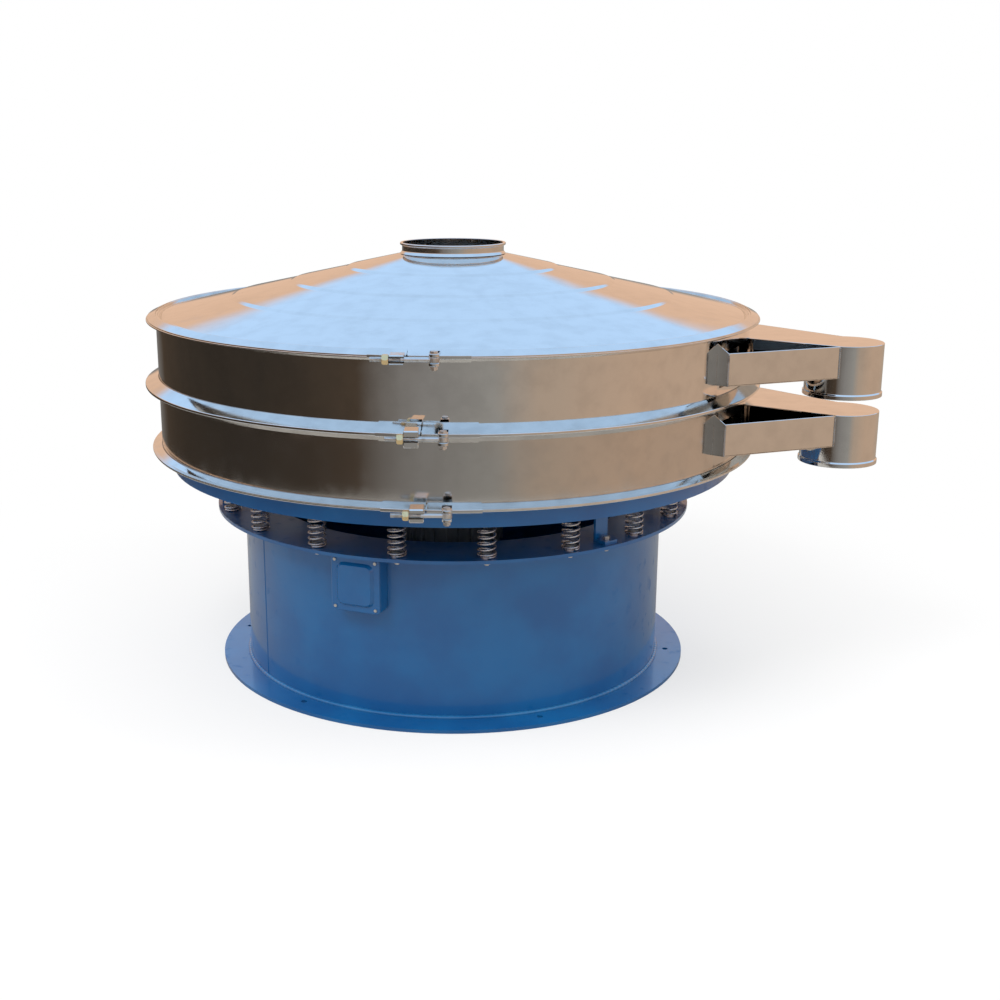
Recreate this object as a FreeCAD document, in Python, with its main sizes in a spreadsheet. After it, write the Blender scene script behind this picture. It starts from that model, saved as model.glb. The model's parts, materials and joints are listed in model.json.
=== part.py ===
"""Round vibrating sieve: a sprung table with a motor under it carries two sieve frames and a domed lid.

Millimetres, +Z up. The origin is on the machine's axis at the underside of the floor flange.
Angles are measured about +Z from +X, so the closures face -Y and the spouts point to +X.
"""
import FreeCAD, Part
import os
import re
import Sketcher

SIZES = {
    # floor flange, drum and spring flange
    "base_plate": 10,
    "base_flange_out": 85.5,
    "base_flange_in": 59,
    "anchor_out": 34,
    "anchor_hole_r": 9,
    "anchor_count": 6,
    "anchor_turn": 291,
    "drum_r": 659,
    "drum_wall": 6,
    "drum_height": 483,
    "spring_plate": 10,
    "spring_flange_margin": 36.6,
    "spring_flange_in": 99,
    # springs with their seats
    "spring_count": 18,
    "spring_out": 47,
    "spring_turn": 277.5,
    "spring_height": 142,
    "coil_r": 23.25,
    "wire_r": 3.25,
    "coil_pitch": 17.8,
    "coil_fit": 0.3,
    "boss_fit": 3,
    "boss_height": 14,
    "stud_r": 6,
    "stud_fit": 0.5,
    "stud_tip": 4,
    "stud_nut_r": 11,
    "stud_nut_height": 10,
    # shipping brackets
    "bracket_count": 3,
    "bracket_turn": 307.5,
    "bracket_width": 46,
    "bracket_plate": 8,
    "bracket_out": 23,
    "bracket_foot": 48,
    "bracket_foot_height": 10,
    "bracket_drop": 15,
    # electrical box on the drum
    "box_turn": 247.5,
    "box_width": 148,
    "box_height": 160,
    "box_top_drop": 5,
    "box_depth": 44,
    "box_wall": 4,
    "box_corner_r": 10,
    "box_cover": 5,
    "box_panel": 9,
    "box_panel_inset": 17,
    "box_panel_corner_r": 22,
    "box_screw_inset": 12,
    "box_screw_r": 4.5,
    "box_screw_head": 4,
    "box_panel_taper": 50,
    "gland_r": 14,
    "gland_bore_r": 6,
    "gland_length": 24,
    "gland_flange": 6,
    "gland_flange_out": 6,
    # vibrating table
    "table_plate": 8,
    "table_bore_gap": 12,
    "table_rim_in": 28,
    "table_rim_wall": 6,
    "table_rim_drop": 11,
    "table_depth": 49,
    "table_rib": 8,
    "table_rib_count": 9,
    "table_rib_height": 34,
    "table_hub_margin": 30,
    "table_hub": 16,
    # motor
    "motor_r": 150,
    "motor_length": 300,
    "motor_flange_out": 80,
    "motor_flange": 18,
    "motor_bell_in": 10,
    "motor_bell": 34,
    "motor_bolt_out": 45,
    "motor_bolt_r": 8,
    "motor_bolt_head_r": 13.9,
    "motor_bolt_head": 10,
    "motor_bolt_count": 8,
    "motor_fin_count": 24,
    "motor_fin": 6,
    "motor_fin_depth": 12,
    "motor_fin_margin": 30,
    "shaft_r": 28,
    "shaft_fit": 0.4,
    "shaft_upper": 62,
    "shaft_lower": 96,
    "weight_r": 128,
    "weight_lower_r": 138,
    "weight_hub_wall": 20,
    "weight_upper": 40,
    "weight_lower": 64,
    "weight_gap": 12,
    # frames, their joints and the clamp bands
    "frame_r": 900,
    "frame_wall": 3,
    "lower_frame_height": 198,
    "upper_frame_height": 194,
    "gasket": 2,
    "screen_flange": 3,
    "mouth_gap": 4,
    "band_wall": 3,
    "band_leg": 3.4,
    "band_fit": 0.2,
    "rim_gap": 8,
    "top_band_out": 29,
    "top_band_height": 29,
    "top_band_flat": 6,
    "middle_band_out": 43,
    "middle_band_height": 47,
    "middle_band_flat": 7,
    "bottom_band_out": 30,
    "bottom_band_height": 28,
    "bottom_band_flat": 6,
    # screen and pan
    "screen_fit": 4,
    "screen_ring_wall": 4,
    "screen_ledge": 24,
    "screen_ledge_plate": 3,
    "screen_drop": 4,
    "mesh": 1,
    "pan_plate": 3,
    "pan_rise": 60,
    "seat_fit": 0.2,
    # lid and inlet
    "lid_plate": 2,
    "lid_edge_in": 17,
    "lid_edge_rise": 9,
    "lid_gutter_in": 9,
    "lid_slope": 12.2,
    "lid_ridge_run": 12,
    "lid_ridge_rise": 6,
    "lid_outer_tier": 217,
    "lid_middle_tier": 179,
    "lid_inner_tier": 170,
    "inlet_r": 156,
    "inlet_wall": 2.5,
    "inlet_height": 33,
    "inlet_rim": 6,
    "inlet_rim_height": 8,
    "inlet_bead": 5,
    # discharge spouts
    "spout_turn": 343.6,
    "spout_height": 91,
    "upper_spout_drop": 48,
    "lower_spout_drop": 51,
    "spout_sheet": 3,
    "spout_root_in": 21,
    "spout_root_half": 327,
    "spout_inner_in": 74,
    "spout_mouth_in": 11,
    "spout_cover_edge": 19,
    "tube_out": 278,
    "tube_r": 109,
    "tube_drop": 62,
    "tube_lip": 3.5,
    "tube_lip_height": 12,
    "outlet_margin": 27,
    # clamp closures
    "closure_turn_top": 267.3,
    "closure_turn_middle": 268.6,
    "closure_turn_bottom": 269.1,
    "closure_reach_top": 92,
    "closure_reach_middle": 79,
    "closure_reach_bottom": 76,
    "closure_stand": 40,
    "pivot_r": 6,
    "pivot_fit": 0.4,
    "eye_wall": 6,
    "eye_half": 7,
    "shank_r": 6.5,
    "fork_half": 18.5,
    "fork_reach": 10,
    "fork_height_top": 24,
    "fork_height_middle": 44,
    "fork_height_bottom": 36,
    "fork_slot_fit": 0.8,
    "ear": 8,
    "ear_fit": 0.4,
    "ear_width": 26,
    "closure_nut_r": 13.9,
    "closure_nut": 16,
    "closure_nut_gap": 0.9,
    "closure_tail": 30,
    "pivot_head_r": 10.4,
    "pivot_head": 6,
    "pivot_nut": 8,
    "pivot_tip": 3,
    "doubler": 3,
    "doubler_left": 10.5,
    "doubler_right": 5.5,
    "band_split": 4,
    "closure_root": 12,
}

# radii that follow one another, written as formulas of the sizes
BASE_FLANGE_R = "(drum_r + base_flange_out)"
BASE_BORE_R = "(drum_r - base_flange_in)"
ANCHOR_R = "(drum_r + anchor_out)"
SPRING_R = "(drum_r + spring_out)"
SPRING_FLANGE_R = f"({SPRING_R} + spring_flange_margin)"
SPRING_BORE_R = "(drum_r - spring_flange_in)"
BOSS_R = "(coil_r - wire_r - boss_fit)"
BRACKET_R = "(drum_r + bracket_out)"
GLAND_FLANGE_R = "(gland_r + gland_flange_out)"
MOTOR_FLANGE_R = "(motor_r + motor_flange_out)"
BELL_R = "(motor_r - motor_bell_in)"
MOTOR_BOLT_R = "(motor_r + motor_bolt_out)"
WEIGHT_HUB_R = "(shaft_r + weight_hub_wall)"
TABLE_BORE_R = f"({BELL_R} + table_bore_gap)"
TABLE_HUB_R = f"({MOTOR_FLANGE_R} + table_hub_margin)"
TABLE_RIM_R = "(frame_r - table_rim_in)"
MOUTH_R = "(frame_r + mouth_gap)"
INNER_R = "(frame_r - frame_wall)"
LID_EDGE_R = "(frame_r - lid_edge_in)"
LID_GUTTER_R = "(frame_r - lid_gutter_in)"
ROOT_X = "(frame_r - spout_root_in)"
INNER_X = "(frame_r - spout_inner_in)"
TUBE_X = "(frame_r + tube_out)"
MOUTH_X = f"({TUBE_X} - spout_mouth_in)"
OUTLET_HALF = "(spout_root_half - outlet_margin)"
EYE_R = "(pivot_r + eye_wall)"

# heights that follow from the stack
SPRING_SEAT = "(base_plate + drum_height + spring_plate)"
TABLE_UNDERSIDE = f"({SPRING_SEAT} + spring_height)"
TABLE_TOP = f"({TABLE_UNDERSIDE} + table_plate)"
BOTTOM_JOINT = f"({TABLE_UNDERSIDE} + table_depth)"
MIDDLE_JOINT = f"({BOTTOM_JOINT} + lower_frame_height)"
TOP_JOINT = f"({MIDDLE_JOINT} + upper_frame_height)"
LOWER_SPOUT_TOP = f"({MIDDLE_JOINT} - lower_spout_drop)"
UPPER_SPOUT_TOP = f"({TOP_JOINT} - upper_spout_drop)"

JOINTS = {"top": TOP_JOINT, "middle": MIDDLE_JOINT, "bottom": BOTTOM_JOINT}
HALF_STACK = {
    "top": "(gasket / 2)",
    "middle": "(gasket + screen_flange / 2)",
    "bottom": "(gasket / 2)",
}

# where a sketch's points stand before its constraints place them
GUESS_START = 10
GUESS_STEP = 7

doc = FreeCAD.newDocument("VibratingSieve")
sheet = doc.addObject("Spreadsheet::Sheet", "Sizes")
parts = []


# ---------------------------------------------------------------- helpers

def fill_sheet():
    """Put each size in a cell of its own, with its name as the alias."""
    for row, (name, value) in enumerate(SIZES.items(), start=1):
        sheet.set(f"A{row}", name)
        sheet.set(f"B{row}", str(value))
        sheet.setAlias(f"B{row}", name)
    doc.recompute()


def cells(formula):
    """Return a formula with each size's name written as the sheet's cell."""
    def refer(found):
        word = found.group()
        return "Sizes." + word if word in SIZES else word
    return re.sub(r"[a-z_]+", refer, str(formula))


def bind(item, prop, formula):
    """Tie one property to a formula of the sizes."""
    item.setExpression(prop, cells(formula))


def new_body(label, turn="0", lift="0", reach="0"):
    """Start a body turned about +Z by an angle, then moved up and out along that angle."""
    body = doc.addObject("PartDesign::Body", label)
    body.Label = label
    body.Placement = FreeCAD.Placement(FreeCAD.Vector(), FreeCAD.Rotation(FreeCAD.Vector(0, 0, 1), 1))
    bind(body, "Placement.Rotation.Angle", turn)
    bind(body, "Placement.Base.x", f"({reach}) * cos({turn})")
    bind(body, "Placement.Base.y", f"({reach}) * sin({turn})")
    bind(body, "Placement.Base.z", lift)
    parts.append(body)
    return body


def origin_part(body, role):
    """Find one of a body's own origin planes or axes."""
    return next(item for item in body.Origin.OriginFeatures if item.Role == role)


def new_sketch(body, plane, lift="0"):
    """Attach an empty sketch to an origin plane, moved along its normal."""
    sketch = body.newObject("Sketcher::SketchObject", body.Label + "_sketch")
    sketch.AttachmentSupport = (origin_part(body, plane), [""])
    sketch.MapMode = "FlatFace"
    bind(sketch, "AttachmentOffset.Base.z", lift)
    return sketch


def hold_point(sketch, edge, end, across, up, guess):
    """Fix one point of a sketch at formulas of the sizes."""
    for kind, formula, value in (("DistanceX", across, guess.x), ("DistanceY", up, guess.y)):
        index = sketch.addConstraint(Sketcher.Constraint(kind, -1, 1, edge, end, value))
        sketch.setExpression(f"Constraints[{index}]", cells(formula))


def polygon(body, plane, corners, lift="0"):
    """Draw a closed outline whose corners are pairs of formulas."""
    sketch = new_sketch(body, plane, lift)
    count = len(corners)
    guess = [FreeCAD.Vector(GUESS_START + GUESS_STEP * i, GUESS_START + i * i, 0) for i in range(count)]
    for i in range(count):
        sketch.addGeometry(Part.LineSegment(guess[i], guess[(i + 1) % count]), False)
    for i in range(count):
        sketch.addConstraint(Sketcher.Constraint("Coincident", i, 2, (i + 1) % count, 1))
    for i, (across, up) in enumerate(corners):
        hold_point(sketch, i, 1, across, up, guess[i])
    return sketch


def circle(body, plane, radius, across="0", up="0", lift="0", sketch=None):
    """Draw one circle, in a new sketch or beside what a sketch already has."""
    if sketch is None:
        sketch = new_sketch(body, plane, lift)
    guess = FreeCAD.Vector(GUESS_START, GUESS_START, 0)
    edge = sketch.addGeometry(Part.Circle(guess, FreeCAD.Vector(0, 0, 1), GUESS_STEP), False)
    index = sketch.addConstraint(Sketcher.Constraint("Radius", edge, GUESS_STEP))
    sketch.setExpression(f"Constraints[{index}]", cells(radius))
    hold_point(sketch, edge, 3, across, up, guess)
    return sketch


def turned(body, corners, axis="V_Axis", cut=False):
    """Turn an outline in the radius-height plane about the body's axis or one of its own edges."""
    sketch = polygon(body, "XZ_Plane", corners)
    kind = "PartDesign::Groove" if cut else "PartDesign::Revolution"
    feature = body.newObject(kind, body.Label + "_turned")
    feature.Profile = sketch
    feature.ReferenceAxis = (sketch, [axis])
    feature.Angle = 360
    body.Tip = feature
    return feature


def padded(body, sketch, height):
    """Raise a sketch to a height."""
    feature = body.newObject("PartDesign::Pad", body.Label + "_pad")
    feature.Profile = sketch
    bind(feature, "Length", height)
    body.Tip = feature
    return feature


def pocketed(body, sketch, depth):
    """Cut a sketch's outline upwards from its plane."""
    feature = body.newObject("PartDesign::Pocket", body.Label + "_pocket")
    feature.Profile = sketch
    bind(feature, "Length", depth)
    feature.Reversed = True
    body.Tip = feature
    return feature


def around(body, features, count):
    """Repeat features evenly about the body's axis."""
    pattern = body.newObject("PartDesign::PolarPattern", body.Label + "_around")
    pattern.Originals = features
    pattern.Axis = (origin_part(body, "Z_Axis"), [""])
    pattern.Angle = 360
    bind(pattern, "Occurrences", count)
    body.Tip = pattern
    return pattern


def rectangle(x_low, x_high, y_low, y_high):
    """Give the corners of a rectangle."""
    return [(x_low, y_low), (x_high, y_low), (x_high, y_high), (x_low, y_high)]


def hexagon(radius, across="0", up="0"):
    """Give the corners of a hexagon with two corners on the first axis."""
    step = 360 // 6
    return [
        (f"({across}) + ({radius}) * cos({step * i})", f"({up}) + ({radius}) * sin({step * i})")
        for i in range(6)
    ]


# ---------------------------------------------------------------- base

BOX_CENTRE = "(base_plate + drum_height - box_top_drop - box_height / 2)"
BOX_FRONT = "(drum_r + box_depth)"
FLANGE_LOW = "(base_plate + drum_height)"
FOOT_BOLT_R = f"({BRACKET_R} + (bracket_plate + bracket_foot) / 2)"
STUD_HOLE_R = "(stud_r + stud_fit)"


def make_base_flange():
    """Flat floor ring with its anchor holes."""
    body = new_body("base_flange", "anchor_turn")
    turned(body, rectangle(BASE_BORE_R, BASE_FLANGE_R, "0", "base_plate"))
    sketch = circle(body, "XY_Plane", "anchor_hole_r", ANCHOR_R)
    around(body, [pocketed(body, sketch, "base_plate")], "anchor_count")


def make_base_drum():
    """Rolled drum between the two flanges, with the hole for the cable gland."""
    body = new_body("base_drum", "box_turn")
    turned(body, rectangle("drum_r - drum_wall", "drum_r", "base_plate", FLANGE_LOW))
    pocketed(body, circle(body, "YZ_Plane", "gland_r + stud_fit", "0", BOX_CENTRE), "drum_r + drum_wall")


def make_spring_flange():
    """Flat ring on the drum that the springs and shipping brackets stand on."""
    body = new_body("spring_flange", "spring_turn")
    turned(body, rectangle(SPRING_BORE_R, SPRING_FLANGE_R, FLANGE_LOW, SPRING_SEAT))
    sketch = circle(body, "XY_Plane", STUD_HOLE_R, SPRING_R, lift=FLANGE_LOW)
    around(body, [pocketed(body, sketch, "spring_plate")], "spring_count")
    turn = "(bracket_turn - spring_turn)"
    across = f"{FOOT_BOLT_R} * cos({turn})"
    up = f"{FOOT_BOLT_R} * sin({turn})"
    sketch = circle(body, "XY_Plane", STUD_HOLE_R, across, up, FLANGE_LOW)
    around(body, [pocketed(body, sketch, "spring_plate")], "bracket_count")


def make_springs():
    """One coil spring for each seat, each a node of its own."""
    for number in range(SIZES["spring_count"]):
        turn = f"spring_turn + {number} * 360 / spring_count"
        body = new_body(f"spring_{number + 1:02d}", turn, SPRING_SEAT, SPRING_R)
        feature = body.newObject("PartDesign::AdditiveHelix", body.Label + "_coil")
        feature.Profile = circle(body, "XZ_Plane", "wire_r", "coil_r", "wire_r")
        feature.ReferenceAxis = (feature.Profile[0], ["V_Axis"])
        bind(feature, "Pitch", "coil_pitch")
        bind(feature, "Height", "spring_height - 2 * wire_r - coil_fit")
        body.Tip = feature


def make_spring_studs(label, seat, upwards):
    """Guide bosses inside the coils, each with its stud and nut through the plate that carries it."""
    body = new_body(label, "spring_turn")
    plate = "spring_plate" if upwards else "table_plate"
    way = 1 if upwards else -1

    def level(rise):
        return f"{seat} + {way} * ({rise})"

    tip = level(f"-{plate} - stud_nut_height - stud_tip")
    corners = [
        (SPRING_R, tip),
        (f"{SPRING_R} + stud_r", tip),
        (f"{SPRING_R} + stud_r", level("0")),
        (f"{SPRING_R} + {BOSS_R}", level("0")),
        (f"{SPRING_R} + {BOSS_R}", level("boss_height")),
        (SPRING_R, level("boss_height")),
    ]
    stud = turned(body, corners, axis="Edge6")
    nut_low = level(f"-{plate} - stud_nut_height") if upwards else level(f"-{plate}")
    sketch = polygon(body, "XY_Plane", hexagon("stud_nut_r", SPRING_R), nut_low)
    around(body, [stud, padded(body, sketch, "stud_nut_height")], "spring_count")


def make_transit_brackets():
    """Angle brackets between the springs that the table is tied to for shipping."""
    body = new_body("transit_brackets", "bracket_turn")
    half = "bracket_width / 2"
    back = BRACKET_R
    foot = polygon(body, "XY_Plane", rectangle(back, f"{back} + bracket_foot", f"-{half}", half), SPRING_SEAT)
    features = [padded(body, foot, "bracket_foot_height")]
    upright = rectangle(back, f"{back} + bracket_plate", f"-{half}", half)
    sketch = polygon(body, "XY_Plane", upright, f"{SPRING_SEAT} + bracket_foot_height")
    features.append(padded(body, sketch, "spring_height - bracket_foot_height - bracket_drop"))
    hole = circle(body, "XY_Plane", STUD_HOLE_R, FOOT_BOLT_R, lift=SPRING_SEAT)
    features.append(pocketed(body, hole, "bracket_foot_height"))
    around(body, features, "bracket_count")


def make_transit_bolts():
    """Bolts that hold the brackets' feet to the spring flange."""
    body = new_body("transit_bolts", "bracket_turn")
    tip = f"{FLANGE_LOW} - stud_nut_height - stud_tip"
    length = "stud_tip + stud_nut_height + spring_plate + bracket_foot_height"
    features = [padded(body, circle(body, "XY_Plane", "stud_r", FOOT_BOLT_R, lift=tip), length)]
    for low in (f"{FLANGE_LOW} - stud_nut_height", f"{SPRING_SEAT} + bracket_foot_height"):
        sketch = polygon(body, "XY_Plane", hexagon("stud_nut_r", FOOT_BOLT_R), low)
        features.append(padded(body, sketch, "stud_nut_height"))
    around(body, features, "bracket_count")


def cut_corners(width, height, corner):
    """Give a rectangle about the box's centre with its corners cut, in the tangent-height plane."""
    across = f"({width}) / 2"
    up = f"({height}) / 2"
    inset = f"({corner})"
    near = [
        (across, f"{up} - {inset}"),
        (f"{across} - {inset}", up),
    ]
    corners = [(x, f"{BOX_CENTRE} + {z}") for x, z in near]
    corners += [(f"-({x})", f"{BOX_CENTRE} + {z}") for x, z in reversed(near)]
    corners += [(f"-({x})", f"{BOX_CENTRE} - ({z})") for x, z in near]
    corners += [(x, f"{BOX_CENTRE} - ({z})") for x, z in reversed(near)]
    return corners


def make_junction_box():
    """Electrical box whose back follows the drum, open at the front and at the gland."""
    body = new_body("junction_box", "box_turn")
    outside = cut_corners("box_width", "box_height", "box_corner_r")
    padded(body, polygon(body, "YZ_Plane", outside, "drum_r - drum_wall"), "box_depth + drum_wall")
    inside = cut_corners("box_width - 2 * box_wall", "box_height - 2 * box_wall", "box_corner_r")
    pocketed(body, polygon(body, "YZ_Plane", inside, "drum_r + box_wall"), "box_depth")
    pocketed(body, circle(body, "YZ_Plane", "gland_r + stud_fit", "0", BOX_CENTRE), BOX_FRONT)
    low = f"{BOX_CENTRE} - box_height"
    pocketed(body, circle(body, "XY_Plane", "drum_r", lift=low), "2 * box_height")


def make_junction_box_cover():
    """Cover plate with a raised panel, drilled at its corners."""
    body = new_body("junction_box_cover", "box_turn")
    outside = cut_corners("box_width", "box_height", "box_corner_r")
    padded(body, polygon(body, "YZ_Plane", outside, BOX_FRONT), "box_cover")
    inset = "2 * box_panel_inset"
    panel = cut_corners(f"box_width - {inset}", f"box_height - {inset}", "box_panel_corner_r")
    raised = padded(body, polygon(body, "YZ_Plane", panel, f"{BOX_FRONT} + box_cover"), "box_panel")
    bind(raised, "TaperAngle", "-box_panel_taper")
    hole = new_sketch(body, "YZ_Plane", BOX_FRONT)
    for across, up in screw_places():
        circle(body, "YZ_Plane", "box_screw_r / 2 + seat_fit", across, up, sketch=hole)
    pocketed(body, hole, "box_cover")


def screw_places():
    """Give the cover's four screw centres in the tangent-height plane."""
    across = "(box_width / 2 - box_screw_inset)"
    up = "(box_height / 2 - box_screw_inset)"
    return [(f"{x} * {across}", f"{BOX_CENTRE} + {z} * {up}") for x in (-1, 1) for z in (-1, 1)]


def make_junction_box_screws():
    """Four cover screws."""
    body = new_body("junction_box_screws", "box_turn")
    shanks = new_sketch(body, "YZ_Plane", BOX_FRONT)
    heads = new_sketch(body, "YZ_Plane", f"{BOX_FRONT} + box_cover")
    for across, up in screw_places():
        circle(body, "YZ_Plane", "box_screw_r / 2", across, up, sketch=shanks)
        circle(body, "YZ_Plane", "box_screw_r", across, up, sketch=heads)
    padded(body, shanks, "box_cover")
    padded(body, heads, "box_screw_head")


def make_cable_gland():
    """Gland that brings the motor's lead through the drum's wall into the electrical box."""
    body = new_body("cable_gland", "box_turn")
    inner = "drum_r - drum_wall"
    tube = circle(body, "YZ_Plane", "gland_r", "0", BOX_CENTRE, f"{inner} - gland_length")
    padded(body, tube, "gland_length + drum_wall + box_wall + gland_flange")
    flange = circle(body, "YZ_Plane", GLAND_FLANGE_R, "0", BOX_CENTRE, f"{inner} - gland_flange - coil_fit")
    padded(body, flange, "gland_flange")
    bore = circle(body, "YZ_Plane", "gland_bore_r", "0", BOX_CENTRE)
    pocketed(body, bore, "drum_r + box_depth")


# ---------------------------------------------------------------- table and motor

MOTOR_FLANGE_LOW = f"({TABLE_UNDERSIDE} - motor_flange)"
MOTOR_LOW = f"({MOTOR_FLANGE_LOW} - motor_length)"
BELL_TOP = f"({TABLE_UNDERSIDE} + motor_bell)"
BELL_LOW = f"({MOTOR_LOW} - motor_bell)"


def band_r(joint):
    """Give the outer radius of the clamp band at one joint."""
    return f"(frame_r + {joint}_band_out)"


def rim_r(joint):
    """Give the radius of the clamped rims at a joint."""
    return f"({band_r(joint)} - band_wall - rim_gap)"


def slope(joint):
    """Give how much a band's leg falls for each millimetre outwards."""
    return f"(({joint}_band_height - {joint}_band_flat) / 2 / ({band_r(joint)} - {MOUTH_R}))"


def leg(joint, radius, drop="0"):
    """Give the height of a band's leg above the joint at a radius, less a drop."""
    return f"({joint}_band_height / 2 - ({drop}) - {slope(joint)} * ({radius} - {MOUTH_R}))"


def rim(joint, root, way):
    """Give a clamped rim's corners from its flat face to its wall, above (1) or below (-1) a joint."""
    level = JOINTS[joint]
    tip = rim_r(joint)
    drop = "band_leg + band_fit"
    return [
        (tip, f"{level} + {way} * {HALF_STACK[joint]}"),
        (tip, f"{level} + {way} * {leg(joint, tip, drop)}"),
        (root, f"{level} + {way} * {leg(joint, root, drop)}"),
    ]


def make_vibrating_table():
    """Sprung table: clamped rim, skirt, ribbed plate and the hub that the motor hangs from."""
    body = new_body("vibrating_table", "spring_turn")
    skirt_low = f"{TABLE_UNDERSIDE} - table_rim_drop"
    inner = f"({TABLE_RIM_R} - table_rim_wall)"
    face = f"{BOTTOM_JOINT} - {HALF_STACK['bottom']}"
    under = f"{BOTTOM_JOINT} - {leg('bottom', 'frame_r', 'band_leg + band_fit')}"
    corners = [
        (TABLE_BORE_R, TABLE_UNDERSIDE),
        (inner, TABLE_UNDERSIDE),
        (inner, skirt_low),
        (TABLE_RIM_R, skirt_low),
        (TABLE_RIM_R, under),
    ]
    corners += reversed(rim("bottom", "frame_r", -1))
    corners += [
        (inner, face),
        (inner, TABLE_TOP),
        (TABLE_HUB_R, TABLE_TOP),
        (TABLE_HUB_R, f"{TABLE_UNDERSIDE} + table_hub"),
        (TABLE_BORE_R, f"{TABLE_UNDERSIDE} + table_hub"),
    ]
    turned(body, corners)
    half_step = "(180 / spring_count)"
    rib = polygon(body, "XY_Plane", swung(TABLE_HUB_R, inner, "table_rib / 2", half_step), TABLE_TOP)
    around(body, [padded(body, rib, "table_rib_height")], "table_rib_count")
    hole = circle(body, "XY_Plane", STUD_HOLE_R, SPRING_R, lift=TABLE_UNDERSIDE)
    around(body, [pocketed(body, hole, "table_plate")], "spring_count")
    hole = circle(body, "XY_Plane", "motor_bolt_r + stud_fit", MOTOR_BOLT_R, lift=TABLE_UNDERSIDE)
    around(body, [pocketed(body, hole, "table_hub")], "motor_bolt_count")


def swung(near, far, half, turn):
    """Give the corners of a radial strip turned to an angle."""
    return [
        (f"{x} * cos({turn}) - {y} * sin({turn})", f"{x} * sin({turn}) + {y} * cos({turn})")
        for x, y in (
            (near, f"(-{half})"), (far, f"(-{half})"), (far, f"({half})"), (near, f"({half})")
        )
    ]


def make_motor_housing():
    """Motor body with its mounting flange and cooling ribs, bored for the shaft."""
    body = new_body("motor_housing", "spring_turn")
    bore = "shaft_r + shaft_fit"
    corners = [
        (bore, MOTOR_LOW),
        ("motor_r", MOTOR_LOW),
        ("motor_r", MOTOR_FLANGE_LOW),
        (MOTOR_FLANGE_R, MOTOR_FLANGE_LOW),
        (MOTOR_FLANGE_R, TABLE_UNDERSIDE),
        (bore, TABLE_UNDERSIDE),
    ]
    turned(body, corners)
    depth = "motor_r + motor_fin_depth"
    fin = rectangle("motor_r - motor_fin", depth, "-motor_fin / 2", "motor_fin / 2")
    sketch = polygon(body, "XY_Plane", fin, f"{MOTOR_LOW} + motor_fin_margin")
    around(body, [padded(body, sketch, "motor_length - 2 * motor_fin_margin")], "motor_fin_count")
    hole = circle(body, "XY_Plane", "motor_bolt_r + stud_fit", MOTOR_BOLT_R, lift=MOTOR_FLANGE_LOW)
    around(body, [pocketed(body, hole, "motor_flange")], "motor_bolt_count")


def make_motor_bells():
    """Bearing housings that close the motor's two ends."""
    body = new_body("motor_bells", "spring_turn")
    bore = "shaft_r + shaft_fit"
    turned(body, rectangle(bore, BELL_R, TABLE_UNDERSIDE, BELL_TOP))
    turned(body, rectangle(bore, BELL_R, BELL_LOW, MOTOR_LOW))


def make_motor_bolts():
    """Bolts that hang the motor's flange from the table's hub."""
    body = new_body("motor_bolts", "spring_turn")
    tip = f"{MOTOR_FLANGE_LOW} - motor_bolt_head"
    length = "2 * motor_bolt_head + motor_flange + table_hub + stud_tip"
    shank = circle(body, "XY_Plane", "motor_bolt_r", MOTOR_BOLT_R, lift=tip)
    features = [padded(body, shank, length)]
    for low in (tip, f"{TABLE_UNDERSIDE} + table_hub"):
        sketch = polygon(body, "XY_Plane", hexagon("motor_bolt_head_r", MOTOR_BOLT_R), low)
        features.append(padded(body, sketch, "motor_bolt_head"))
    around(body, features, "motor_bolt_count")


def make_motor_shaft():
    """Through shaft with a free end above and below the motor."""
    body = new_body("motor_shaft")
    low = f"{BELL_LOW} - shaft_lower"
    length = f"{BELL_TOP} - {BELL_LOW} + shaft_upper + shaft_lower"
    padded(body, circle(body, "XY_Plane", "shaft_r", lift=low), length)


def make_weight(label, low, height, radius, bore):
    """Half-round eccentric weight on a hub."""
    body = new_body(label)
    turned(body, rectangle(bore, WEIGHT_HUB_R, low, f"{low} + {height}"))
    sketch = polygon(body, "XZ_Plane", rectangle(WEIGHT_HUB_R, radius, low, f"{low} + {height}"))
    sector = body.newObject("PartDesign::Revolution", label + "_sector")
    sector.Profile = sketch
    sector.ReferenceAxis = (sketch, ["V_Axis"])
    sector.Midplane = True
    sector.Angle = 180
    body.Tip = sector


# ---------------------------------------------------------------- sieve frames

def make_frame(label, lower, upper, spout_top):
    """Rolled frame with a clamped rim at each end and a window into its spout."""
    body = new_body(label, "spout_turn")
    corners = [(INNER_R, f"{JOINTS[lower]} + {HALF_STACK[lower]}")]
    corners += rim(lower, "frame_r", 1)
    corners += reversed(rim(upper, "frame_r", -1))
    corners.append((INNER_R, f"{JOINTS[upper]} - {HALF_STACK[upper]}"))
    turned(body, corners)
    low = f"{spout_top} - spout_height + spout_sheet"
    inside = f"sqrt({INNER_R} ^ 2 - {OUTLET_HALF} ^ 2) - frame_wall"
    window = rectangle(inside, "frame_r + mouth_gap", f"-{OUTLET_HALF}", OUTLET_HALF)
    pocketed(body, polygon(body, "XY_Plane", window, low), "spout_height - 2 * spout_sheet")


def make_gaskets():
    """Rubber rings: one at the top and bottom joints, two about the screen's flange."""
    for label, joint in (("bottom_gasket", "bottom"), ("top_gasket", "top")):
        body = new_body(label)
        level = JOINTS[joint]
        turned(body, rectangle(INNER_R, rim_r(joint), f"{level} - gasket / 2", f"{level} + gasket / 2"))
    body = new_body("screen_gaskets")
    for low in ("-screen_flange / 2 - gasket", "screen_flange / 2"):
        low = f"{MIDDLE_JOINT} + ({low})"
        turned(body, rectangle(INNER_R, rim_r("middle"), low, f"{low} + gasket"))


MESH_LOW = f"({UPPER_SPOUT_TOP} - spout_height + spout_sheet - screen_drop - mesh)"
SCREEN_R = f"({INNER_R} - screen_fit)"


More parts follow.
